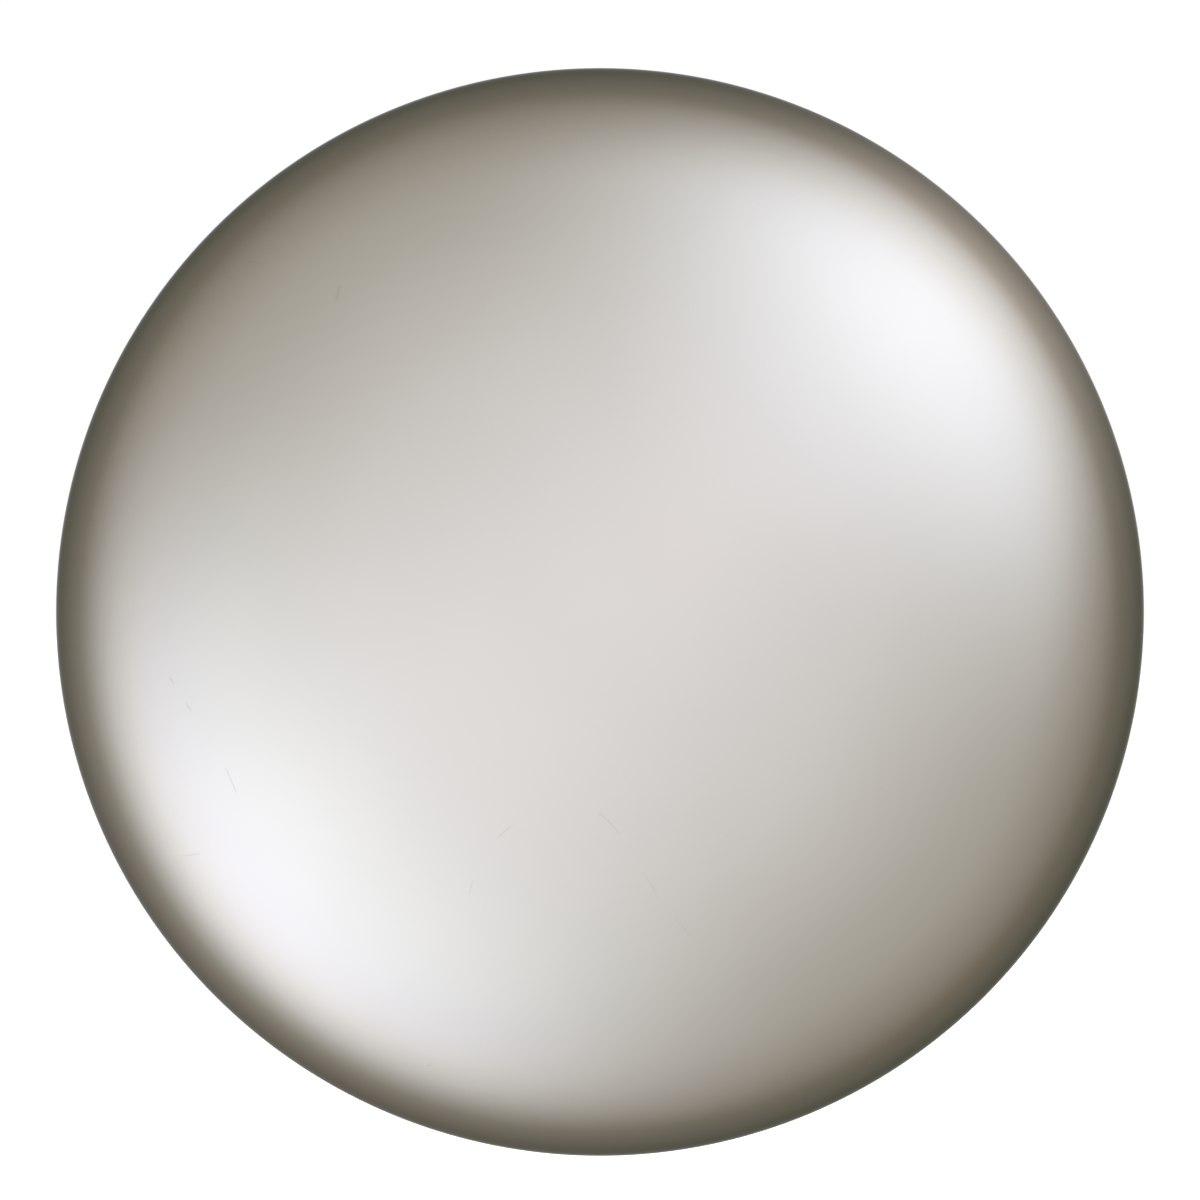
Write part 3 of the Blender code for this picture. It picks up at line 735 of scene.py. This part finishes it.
def build_vents():
    """Mushroom vents: a ribbed shank inside, and a domed cap over a ring of slots outside."""
    back = (0, 1, 0)
    _, length = along("breather_vent_left", back)
    cap = length - 0.0045
    profile = rounded(
        [
            (0, 0, 0),
            (0.0048, 0, 0.0006),
            (0.0072, 0.0070, 0.0005),
            (0.0060, 0.0080, 0.0003),
            (0.0060, cap + 0.0003, 0.0003),
            (0.0110, cap + 0.0003, 0.0003),
            (0.0110, cap + 0.0010, 0.0003),
            (0.0102, cap + 0.0012, 0.0003),
            (0.0102, cap + 0.0020, 0.0003),
            (0.0106, cap + 0.0022, 0.0004),
            (0.0060, cap + 0.0042, 0.0015),
            (0.0035, cap + 0.0045, 0.0004),
            (0.0032, cap + 0.0039, 0.0003),
            (0, cap + 0.0039, 0),
        ],
        3,
    )
    vent = lathe(profile, 48)
    half = 0.0011
    outline = [(-half, 0.0090), (half, 0.0090), (half, 0.0120), (-half, 0.0120)]
    slots = []
    for angle in turns(12):
        slot = prism(outline, cap + 0.0010, cap + 0.0021)
        slot.transform(Matrix.Rotation(angle, 4, "Z"))
        slots.append(slot)
    vent = boolean(vent, [joined(slots)], "DIFFERENCE")
    for side in ("left", "right"):
        node = f"breather_vent_{side}"
        place, _ = along(node, back)
        add(f"vent_plug_{side}", vent, HEAD_BODY, RUBBER, [node], place)


# -------------------- fasteners

CHAMFER_SLOPE = math.tan(math.radians(30))
BEARING_SHARE = 0.93  # of a hexagon's half width, out to its round bearing face
LIP_SHARE = 0.70  # of a nut's half width, in to the lip over its insert


def hex_radius(half_flats, angle):
    """Distance from the middle of a hexagon to its side, with a flat across angle 0."""
    sixth = math.pi / 3
    return half_flats / math.cos((angle + sixth / 2) % sixth - sixth / 2)


def hex_ring(half_flats, angles, height, slope=0.0):
    """A hexagon of points. With a slope, corners sit further along than flats, as a cone cuts."""
    points = []
    for a in angles:
        radius = hex_radius(half_flats, a)
        rise = (radius - half_flats * BEARING_SHARE) * slope
        points.append((radius * math.cos(a), radius * math.sin(a), height + rise))
    return points


def thread_rings(radius, pitch, start, end, angles):
    """A right-hand thread, faded in at its start and out at its end."""
    depth = pitch * 0.55
    steps = math.ceil((end - start) / pitch * 6)
    rings = []
    for i in range(steps + 1):
        height = start + (end - start) * i / steps
        fade = min(1.0, (height - start) / pitch, (end - height) / pitch)
        points = []
        for a in angles:
            turn = (height / pitch - a / (2 * math.pi)) % 1.0
            cut = depth * fade * (1 - abs(2 * turn - 1))
            points.append(((radius - cut) * math.cos(a), (radius - cut) * math.sin(a), height))
        rings.append(points)
    return rings


def hex_bolt(size, length, threaded):
    """A chamfered hexagon head from z = 0, a washer face, a shank and a thread up to its tip."""
    shank, half_flats, head, _, pitch = size
    angles = turns(48)
    dish = half_flats * 0.55
    rings = [
        ring(0, 0.0004, angles),
        ring(dish, 0.0004, angles),
        ring(dish + 0.0006, 0.0, angles),
        ring(half_flats * BEARING_SHARE, 0.0, angles),
        hex_ring(half_flats, angles, 0.0, CHAMFER_SLOPE),
        hex_ring(half_flats, angles, head - 0.0005),
        ring(half_flats * 0.94, head - 0.0005, angles),
        ring(half_flats * 0.94, head, angles),
        ring(shank + 0.0003, head, angles),
        ring(shank, head + 0.0003, angles),
    ]
    tip = length - shank * 0.15
    rings += thread_rings(shank, pitch, length - threaded, tip, angles)
    rings += [ring(shank * 0.84, length, angles), ring(0, length, angles)]
    return skin(rings, sharp=30)


def lock_nut(size, length):
    """A hexagon chamfered at its bearing face, with a collar rolled over its insert."""
    shank, half_flats, _, height, _ = size
    bore = shank + BORE_GAP
    angles = turns(48)
    lip = half_flats * LIP_SHARE
    rings = [
        ring(bore, 0.0006, angles),
        ring(bore + 0.0006, 0.0, angles),
        ring(half_flats * BEARING_SHARE, 0.0, angles),
        hex_ring(half_flats, angles, 0.0, CHAMFER_SLOPE),
        hex_ring(half_flats, angles, height, -CHAMFER_SLOPE),
        ring(half_flats * BEARING_SHARE, height, angles),
        ring(half_flats * 0.91, height + 0.0003, angles),
        ring(half_flats * 0.89, length - 0.0008, angles),
        ring(half_flats * 0.83, length - 0.0001, angles),
        ring(lip + 0.0004, length, angles),
        ring(lip, length - 0.0004, angles),
        ring(lip, height, angles),
        ring(bore, height - 0.0002, angles),
    ]
    return skin(rings, closed=True, sharp=30)


def nut_insert(size, length):
    shank, half_flats, _, height, _ = size
    lip = half_flats * LIP_SHARE - 0.0001
    corners = [
        (shank + 0.0001, height, 0.0002),
        (lip, height, 0.0002),
        (lip, length - 0.0005, 0.0003),
        (shank + 0.0001, length - 0.0008, 0.0004),
    ]
    return lathe(rounded(corners, 3), 48)


def flat_washer(radius, bore, thickness, edge):
    corners = [(bore, 0, edge), (radius, 0, edge), (radius, thickness, edge), (bore, thickness, edge)]
    return lathe(rounded(corners, 3), 64)


def build_ring(node, ending, body, look, direction, bore, edge):
    """A washer or disc the size of its CAD node, named after it with an ending."""
    place, thickness = along(node, direction)
    low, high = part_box(node)
    radius = max(high - low) / 2
    washer = flat_washer(radius, bore, thickness, edge)
    add(f"{node}_{ending}", washer, body, look, [node], place)


def build_bolt_and_nut(stem, size, body, direction, threaded):
    """A bolt, its lock nut and the nut's nylon insert. stem has a {} for bolt or nut."""
    bolt, nut = stem.format("bolt"), stem.format("nut")
    place, length = along(bolt, direction)
    add(f"{bolt}_hex", hex_bolt(size, length, threaded), body, ZINC, [bolt], place)
    place, length = along(nut, direction)
    add(f"{nut}_locking", lock_nut(size, length), body, ZINC, [nut], place)
    add(f"{nut}_insert", nut_insert(size, length), body, NYLON, at=place)


def build_pivots():
    down, right = (0, 0, -1), (1, 0, 0)
    bore = M12[0] + BORE_GAP
    build_bolt_and_nut("pan_{}", M12, WALL_BODY, down, PIVOT_THREAD)
    build_bolt_and_nut("tilt_{}", M12, HEAD_BODY, right, PIVOT_THREAD)
    for pivot, body, way in (("pan", WALL_BODY, down), ("tilt", HEAD_BODY, right)):
        for side in "ab":
            washer = f"{pivot}_washer_{side}"
            disc = f"{pivot}_friction_disc_{side}"
            build_ring(washer, "plated", body, ZINC, way, bore, 0.0004)
            build_ring(disc, "nylon", KNUCKLE_BODY, NYLON, way, PIVOT_BORE, 0.0002)


def build_hub_bolts():
    back = (0, 1, 0)
    bore = M8[0] + BORE_GAP
    for number in range(1, 5):
        build_bolt_and_nut(f"hub_{{}}_{number}", M8, HEAD_BODY, back, HUB_THREAD)
        build_ring(f"hub_washer_{number}", "plated", HEAD_BODY, ZINC, back, bore, 0.0003)
        build_ring(f"hub_seal_{number}", "rubber", HEAD_BODY, RUBBER, back, bore, 0.0005)


# -------------------- brackets


def rounded_rectangle(half_width, half_height, corner):
    outline = []
    for sign_u, sign_v, start in ((1, 1, 0), (-1, 1, 90), (-1, -1, 180), (1, -1, 270)):
        centre = (sign_u * (half_width - corner), sign_v * (half_height - corner))
        outline += arc(centre, corner, start, start + 90, 10)
    return outline


def slot_outline(centre, half_width, half_length):
    reach = half_length - half_width
    top = arc((centre[0], centre[1] + reach), half_width, 0, 180, 16)
    bottom = arc((centre[0], centre[1] - reach), half_width, 180, 360, 16)
    return top + bottom


def nose_outline(base, half_width, radius):
    """A plate that tapers from a wide base at -base to a round nose about the origin, along +u."""
    corner = Vector((-base, half_width))
    bearing = math.degrees(math.atan2(corner.y, corner.x))
    tangent = bearing - math.degrees(math.acos(radius / corner.length))
    return [(-base, -half_width), *arc((0, 0), radius, -tangent, tangent, 28), (-base, half_width)]


def build_ears():
    """Each ear is one bent plate: a foot on the hub and an ear round the tilt bolt."""
    front = HUB_FACE - TILT_AXIS.y + BORE_GAP
    outer = EAR_INNER + FOOT_WIDTH
    bend = BEND_INNER + PLATE
    section = [
        (outer, front),
        (outer, front + PLATE),
        *arc((EAR_INNER + bend, front + bend), BEND_INNER, 270, 180, 10),
        (EAR_INNER + PLATE, EAR_NOSE + PLATE),
        (EAR_INNER, EAR_NOSE + PLATE),
        *arc((EAR_INNER + bend, front + bend), bend, 180, 270, 10),
    ]
    foot_face = front + PLATE + 0.001
    side = [
        (front - PLATE, -FOOT_HALF_HEIGHT),
        (foot_face, -FOOT_HALF_HEIGHT),
        *nose_outline(-front - bend, EAR_ROOT_HALF_HEIGHT, EAR_NOSE),
        (foot_face, FOOT_HALF_HEIGHT),
        (front - PLATE, FOOT_HALF_HEIGHT),
    ]
    limits = [prism(side, 0, THROUGH, "X"), prism(rounded_foot(outer), -THROUGH, THROUGH, "Y")]
    blank = boolean(prism(section, -THROUGH, THROUGH), limits, "INTERSECT")
    hub_holes = [circle((HUB_BOLT_X, sign * HUB_BOLT_Z), HUB_DRILL) for sign in (-1, 1)]
    holes = drills(hub_holes, 0, THROUGH)
    pivot = prism(circle((0, 0), PIVOT_BORE), 0, THROUGH, "X")
    right = boolean(blank, [*holes, pivot], "DIFFERENCE")
    right.transform(Matrix.Translation(TILT_AXIS))
    left = right.copy()
    left.transform(Matrix.Scale(-1, 4, (1, 0, 0)))
    left.flip_normals()
    for side_name, mesh in (("right", right), ("left", left)):
        name, node = f"ear_{side_name}_pressed", f"ear_bracket_{side_name}"
        soften_edges(add(name, mesh, HEAD_BODY, GALVANISED, [node]), 0.0006)


def rounded_foot(outer):
    """The ear seen from behind, whose two outer foot corners are rounded."""
    inner = EAR_INNER - 0.02
    middle = outer - FOOT_CORNER
    past = FOOT_HALF_HEIGHT + 0.01
    return [
        (inner, -past),
        (middle, -past),
        *arc((middle, -FOOT_HALF_HEIGHT + FOOT_CORNER), FOOT_CORNER, -90, 0, 8),
        *arc((middle, FOOT_HALF_HEIGHT - FOOT_CORNER), FOOT_CORNER, 0, 90, 8),
        (middle, past),
        (inner, past),
    ]


def build_knuckle():
    """The casting: two crossed sleeves, a neck and ribs, blended by fillets, with bored sleeves."""
    _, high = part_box("swivel_knuckle")
    pan_half, tilt_half = high.z, high.x
    reach = PAN_AXIS.y - TILT_AXIS.y
    sides = arc((0, 0), SLEEVE, 0, 355, 71)
    upright = prism(sides, -pan_half, pan_half)
    level = prism([(u - reach, v) for u, v in sides], -tilt_half, tilt_half, "X")
    neck_sides = [
        (-NECK_HALF_WIDTH, -reach),
        (NECK_HALF_WIDTH, -reach),
        (NECK_HALF_WIDTH, 0),
        (-NECK_HALF_WIDTH, 0),
    ]
    neck = prism(neck_sides, -NECK_HALF_HEIGHT, NECK_HALF_HEIGHT)
    tall = pan_half - 0.003
    side_web = [
        (-reach, -0.013),
        (-0.010, -tall + 0.001),
        (-0.002, -tall),
        (-0.002, tall),
        (-0.010, tall - 0.001),
        (-reach, 0.013),
    ]
    wide = tilt_half - 0.003
    flat_web = [
        (-wide, -reach - 0.002),
        (wide, -reach - 0.002),
        (wide, -reach + 0.007),
        (0.011, -0.004),
        (-0.011, -0.004),
        (-wide, -reach + 0.007),
    ]
    half_rib = KNUCKLE_RIB / 2
    webs = [prism(side_web, -half_rib, half_rib, "X"), prism(flat_web, -half_rib, half_rib)]
    body = boolean(upright, [level, neck, *webs], "UNION")
    rough = in_scene("casting", body)
    remesh = rough.modifiers.new("skin", "REMESH")
    remesh.mode = "VOXEL"
    remesh.voxel_size = CASTING_DETAIL
    relax = rough.modifiers.new("fillets", "SMOOTH")
    relax.factor = 0.5
    relax.iterations = 14
    body = evaluated(rough)
    bpy.data.objects.remove(rough)
    pan_bore = prism(circle((0, 0), PIVOT_BORE), -THROUGH, THROUGH)
    tilt_bore = prism(circle((-reach, 0), PIVOT_BORE), -THROUGH, THROUGH, "X")
    body = boolean(body, [pan_bore, tilt_bore], "DIFFERENCE")
    body.transform(Matrix.Translation(PAN_AXIS))
    add("knuckle_casting", body, KNUCKLE_BODY, CASTING, ["swivel_knuckle"])


def build_wall_bracket():
    """The weldment, as the plates that it is cut from."""
    _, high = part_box("wall_bracket")
    slots = []
    for opening in frame["record"]["physics"]["openings"]:
        (x0, _, z0), (x1, _, z1) = opening["box_m"]
        slots.append(slot_outline(((x0 + x1) / 2, (z0 + z1) / 2), SLOT_HALF_WIDTH, SLOT_HALF_LENGTH))
    plate = prism(rounded_rectangle(high.x, high.z, WALL_CORNER), -WALL_PLATE, 0, "Y")
    shapes = {"wall_plate": boolean(plate, drills(slots, 0, THROUGH), "DIFFERENCE")}

    root = -PAN_AXIS.y - WALL_PLATE
    flat = [(v, PAN_AXIS.y - u) for u, v in nose_outline(root, FORK_ROOT_HALF_WIDTH, FORK_NOSE)]
    bore = prism(circle((0, PAN_AXIS.y), PIVOT_BORE), -THROUGH, THROUGH)
    for side, start in (("upper", FORK_INNER), ("lower", -FORK_TOP)):
        shapes[f"fork_arm_{side}"] = boolean(prism(flat, start, start + PLATE), [bore], "DIFFERENCE")

    cheek = [
        (-WALL_PLATE, -FORK_INNER),
        (-WALL_PLATE, FORK_INNER),
        (-CHEEK_REACH, FORK_INNER),
        *arc((-CHEEK_REACH - 0.014, 0), CHEEK_CUT, 60, -60, 20),
        (-CHEEK_REACH, -FORK_INNER),
    ]
    for side, sign in (("left", -1), ("right", 1)):
        centre = sign * CHEEK_X
        shapes[f"fork_cheek_{side}"] = prism(cheek, centre - PLATE / 2, centre + PLATE / 2, "X")
    for side, sign in (("upper", 1), ("lower", -1)):
        corner = [
            (-WALL_PLATE, sign * FORK_TOP),
            (-WALL_PLATE, sign * GUSSET_TOP),
            (-WALL_PLATE - GUSSET_LIP, sign * GUSSET_TOP),
            (-GUSSET_REACH, sign * (FORK_TOP + GUSSET_LIP)),
            (-GUSSET_REACH, sign * FORK_TOP),
        ]
        shapes[f"gusset_{side}"] = prism(corner, -PLATE / 2, PLATE / 2, "X")
    for name, mesh in shapes.items():
        nodes = ["wall_bracket"] if name == "wall_plate" else []
        soften_edges(add(name, mesh, WALL_BODY, GALVANISED, nodes), 0.0005)
    add("bracket_welds", joined(weld_beads()), WALL_BODY, WELD)


def weld_bead(start, end, one, two):
    """A rippled fillet weld in the corner line from start to end, between faces that run away
    from that line along one and two."""
    start, end, one, two = (Vector(v) for v in (start, end, one, two))
    way = (end - start).normalized()
    length = (end - start).length
    steps = math.ceil(length / WELD_RIPPLE * 5)
    rings = []
    sunk = (one + two) * -0.0004
    for i in range(steps + 1):
        s = length * i / steps
        taper = min(1.0, math.sqrt(max(min(s, length - s), 0) / WELD_LEG))
        points = [start + way * s + sunk]
        for j in range(8):
            a = math.radians(90 * j / 7)
            lag = 0.0012 * math.sin(2 * a)
            wave = abs(math.sin(math.pi * (s + lag) / WELD_RIPPLE))
            reach = WELD_LEG * max(taper, 0.15) * (0.80 + 0.10 * wave)
            bulge = reach * (1 + 0.06 * math.sin(2 * a))
            points.append(start + way * s + (one * math.cos(a) + two * math.sin(a)) * bulge)
        rings.append(points)
    first, last = (sum(end_ring, Vector()) / len(end_ring) for end_ring in (rings[0], rings[-1]))
    return skin([[first], *rings, [last]], sharp=60)


def weld_beads():
    """Every seam of the bracket, mirrored up and down and left and right."""
    face = -WALL_PLATE
    arm_end = FORK_ROOT_HALF_WIDTH - WELD_STOP
    gusset_end = GUSSET_TOP - WELD_STOP
    cheek_end = -CHEEK_REACH + 0.009
    beads = []
    for up in (-1, 1):
        for side in (-1, 1):
            away, rise, out = (side, 0, 0), (0, 0, up), (0, -1, 0)
            top, inner = up * FORK_TOP, up * FORK_INNER
            gusset, cheek = side * PLATE / 2, side * (CHEEK_X + PLATE / 2)
            beads += [
                weld_bead((gusset + side * WELD_STOP, face, top), (side * arm_end, face, top), rise, out),
                weld_bead((gusset, face, top), (gusset, face, up * gusset_end), away, out),
                weld_bead((gusset, face - 0.001, top), (gusset, -GUSSET_REACH + WELD_STOP, top), away, rise),
                weld_bead((cheek, face, 0.0), (cheek, face, inner), away, out),
                weld_bead((cheek, face, inner), (cheek, cheek_end, inner), away, (0, 0, -up)),
            ]
    return beads


# -------------------- studio

# Radiance of the studio by angle off the mirror's axis, as a share of a half turn. The lights are
# added to the wall, most towards their own azimuth.
STUDIO_WALL = [
    (0.00, (0.89, 0.88, 0.90)),
    (0.16, (0.71, 0.70, 0.69)),
    (0.23, (0.53, 0.52, 0.48)),
    (0.30, (0.41, 0.39, 0.34)),
    (0.40, (0.22, 0.20, 0.16)),
    (0.49, (0.15, 0.14, 0.11)),
    (0.80, (0.12, 0.12, 0.10)),
    (0.90, (0.34, 0.34, 0.34)),
    (1.00, (0.50, 0.50, 0.50)),
]
UPPER_LIGHT = [
    (0.00, (0.00, 0.00, 0.00)),
    (0.06, (0.04, 0.03, 0.03)),
    (0.16, (0.22, 0.24, 0.29)),
    (0.23, (0.58, 0.62, 0.73)),
    (0.28, (0.71, 0.76, 0.90)),
    (0.32, (0.70, 0.73, 0.80)),
    (0.42, (0.31, 0.29, 0.28)),
    (0.50, (0.19, 0.17, 0.16)),
    (1.00, (0.06, 0.05, 0.05)),
]
LOWER_LIGHT = [
    (0.00, (0.00, 0.00, 0.00)),
    (0.06, (0.07, 0.07, 0.08)),
    (0.16, (0.27, 0.29, 0.33)),
    (0.23, (0.60, 0.65, 0.74)),
    (0.28, (0.71, 0.75, 0.91)),
    (0.32, (0.71, 0.74, 0.81)),
    (0.37, (0.36, 0.37, 0.40)),
    (0.42, (0.15, 0.16, 0.15)),
    (0.50, (0.08, 0.07, 0.07)),
    (1.00, (0.02, 0.02, 0.02)),
]
# Where each light is and how it spreads, as lobe() takes it.
UPPER_LOBE = (42, 0.27, 0.42, 4.2, 10.5)
LOWER_LOBE = (220, 0.04, 0.30, 1.1, 3.1)
STUDIO_STRENGTH = 1.02
BACKDROP_STRENGTH = 1.02
AMBIENT = 0.42

FLOOR_DROP = 0.32  # below the mirror's lowest point
FLOOR_HALF_WIDTH = 60
FLOOR_LIGHT = 2.6
LENS, SENSOR = 100.0, 36.0
DOME_SHARE = 0.9067  # of the view's width
CAMERA_RISE = 0.020  # of the view's half width, above the dome's centre


def softbox(name, at, size, power, target, left_out):
    """An area light aimed at a point, unseen by the camera. Pieces left out aren't lit by it."""
    lamp = bpy.data.lights.new(name, "AREA")
    lamp.shape = "RECTANGLE"
    lamp.size, lamp.size_y = size
    lamp.energy = power
    made = in_scene(name, lamp)
    made.location = at
    made.rotation_euler = (Vector(target) - Vector(at)).to_track_quat("-Z", "Y").to_euler()
    made.visible_camera = False
    limit_light(made, left_out, "EXCLUDE")


def limit_light(lamp, pieces, state):
    """Leaves pieces out of a light's reach, or lights nothing else."""
    group = bpy.data.collections.new(f"{lamp.name}_group")
    for piece in pieces:
        group.objects.link(piece)
    lamp.light_linking.receiver_collection = group
    for entry in group.collection_objects:
        entry.light_linking.link_state = state


def studio_world():
    """Plain white to the camera, even light on matt surfaces, and for reflections a soft studio:
    a warm wall in front of the mirror that darkens to the sides, with two broad soft lights,
    up to the right and down to the left."""
    world = bpy.data.worlds.new("studio")
    world.use_nodes = True
    bpy.context.scene.world = world
    world.node_tree.nodes.clear()
    g = Graph(world.node_tree)

    direction = g.node("ShaderNodeTexCoord").outputs["Generated"]
    x, y, z = g.node("ShaderNodeSeparateXYZ", Vector=direction).outputs
    off_axis = g.maths("DIVIDE", g.maths("ARCCOSINE", g.maths("MULTIPLY", y, -1.0)), math.pi)
    flat = g.maths("ADD", g.maths("MULTIPLY", x, x), g.maths("MULTIPLY", z, z))
    flat = g.maths("MAXIMUM", g.maths("SQRT", flat), 1e-4)

    def gradient(stops):
        """A smooth colour by angle off the axis."""
        made = g.node("ShaderNodeValToRGB", Fac=off_axis)
        made.color_ramp.interpolation = "CARDINAL"
        points = made.color_ramp.elements
        while len(points) < len(stops):
            points.new(0.5)
        for point, (position, colour) in zip(points, stops):
            point.position = position
            point.color = (*colour, 1.0)
        return made.outputs["Color"]

    def lobe(azimuth, start, end, wide, narrow):
        """1 towards an azimuth in degrees round the mirror's axis, falling off to both sides as a
        power of the cosine that grows from wide to narrow between two angles off the axis."""
        a = math.radians(azimuth)
        toward = g.maths("ADD", g.maths("MULTIPLY", x, math.cos(a)), g.maths("MULTIPLY", z, math.sin(a)))
        toward = g.maths("MAXIMUM", g.maths("DIVIDE", toward, flat), 0.0)
        return g.maths("POWER", toward, g.between(off_axis, start, end, wide, narrow))

    def background(colour, strength):
        return g.node("ShaderNodeBackground", Color=colour, Strength=strength).outputs["Background"]

    def blend(amount, one, two):
        made = g.node("ShaderNodeMixShader")
        for socket, value in zip(made.inputs, (amount, one, two)):
            g.feed(socket, value)
        return made.outputs[0]

    studio = gradient(STUDIO_WALL)
    studio = g.mix(lobe(*UPPER_LOBE), studio, gradient(UPPER_LIGHT), "ADD")
    studio = g.mix(lobe(*LOWER_LOBE), studio, gradient(LOWER_LIGHT), "ADD")
    studio = background(studio, STUDIO_STRENGTH)
    ambient = background((1.0, 0.995, 0.985), AMBIENT)
    backdrop = background((1.0, 1.0, 1.0), BACKDROP_STRENGTH)

    path = g.node("ShaderNodeLightPath").outputs
    seen = blend(path["Is Glossy Ray"], ambient, studio)
    seen = blend(path["Is Camera Ray"], seen, backdrop)
    g.node("ShaderNodeOutputWorld", Surface=seen)


def build_floor():
    """A wide pale floor below the mirror, evenly lit by a light of its own. It isn't mirrored, so
    that the dome shows the studio."""
    bm = bmesh.new()
    bmesh.ops.create_grid(bm, x_segments=1, y_segments=1, size=FLOOR_HALF_WIDTH)
    floor = in_scene("floor", mesh_from(bm))
    floor.location = (0, 0, cad_bounds[0].z - FLOOR_DROP)
    floor.data.materials.append(pale_floor())
    floor.visible_glossy = False
    wash = in_scene("floor_wash", bpy.data.lights.new("floor_wash", "SUN"))
    wash.data.energy = FLOOR_LIGHT
    wash.data.angle = math.radians(70)
    limit_light(wash, [floor], "INCLUDE")


def build_camera():
    """Level, straight at the mirror, far enough back for the dome to fill its share of the view.
    The dome's outline is where the line of sight grazes its edge."""
    half_view = SENSOR / 2 / LENS
    slope = DOME_SHARE * half_view
    grazing = math.atan(slope)
    edge_radius = MIRROR_RADIUS - EDGE_RADIUS + EDGE_RADIUS * math.cos(grazing)
    edge_plane = RIM_PLANE - EDGE_RADIUS * math.sin(grazing)
    distance = edge_radius / slope
    camera = in_scene("camera", bpy.data.cameras.new("camera"))
    camera.data.lens = LENS
    camera.data.sensor_width = SENSOR
    camera.location = (0, edge_plane - distance, distance * half_view * CAMERA_RISE)
    camera.rotation_euler = (math.radians(90), 0, 0)
    bpy.context.scene.camera = camera


def build_lights():
    face = [bpy.data.objects["mirror_face_polished"]]
    aim = (0, -0.15, 0)
    softbox("key_rear", (2.2, 1.5, 1.9), (1.4, 1.4), 60, aim, face)
    softbox("wall_rear", (2.7, 2.9, 0.1), (3.4, 3.0), 60, aim, face)
    softbox("side_left", (-2.8, 0.5, 0.3), (1.0, 2.8), 26, aim, face)
    softbox("top", (0.0, -0.6, 2.7), (2.4, 1.6), 26, aim, face)


# -------------------- build

build_face()
build_gasket()
build_shell()
build_rivets()
build_vents()
build_pivots()
build_hub_bolts()
build_ears()
build_knuckle()
build_wall_bracket()

stiffener = frame["nodes"]["hub_stiffener"]
stiffener.data.materials.clear()
stiffener.data.materials.append(GALVANISED[0])

build_floor()
build_lights()
studio_world()
build_camera()
bpy.context.scene.view_settings.view_transform = "Standard"
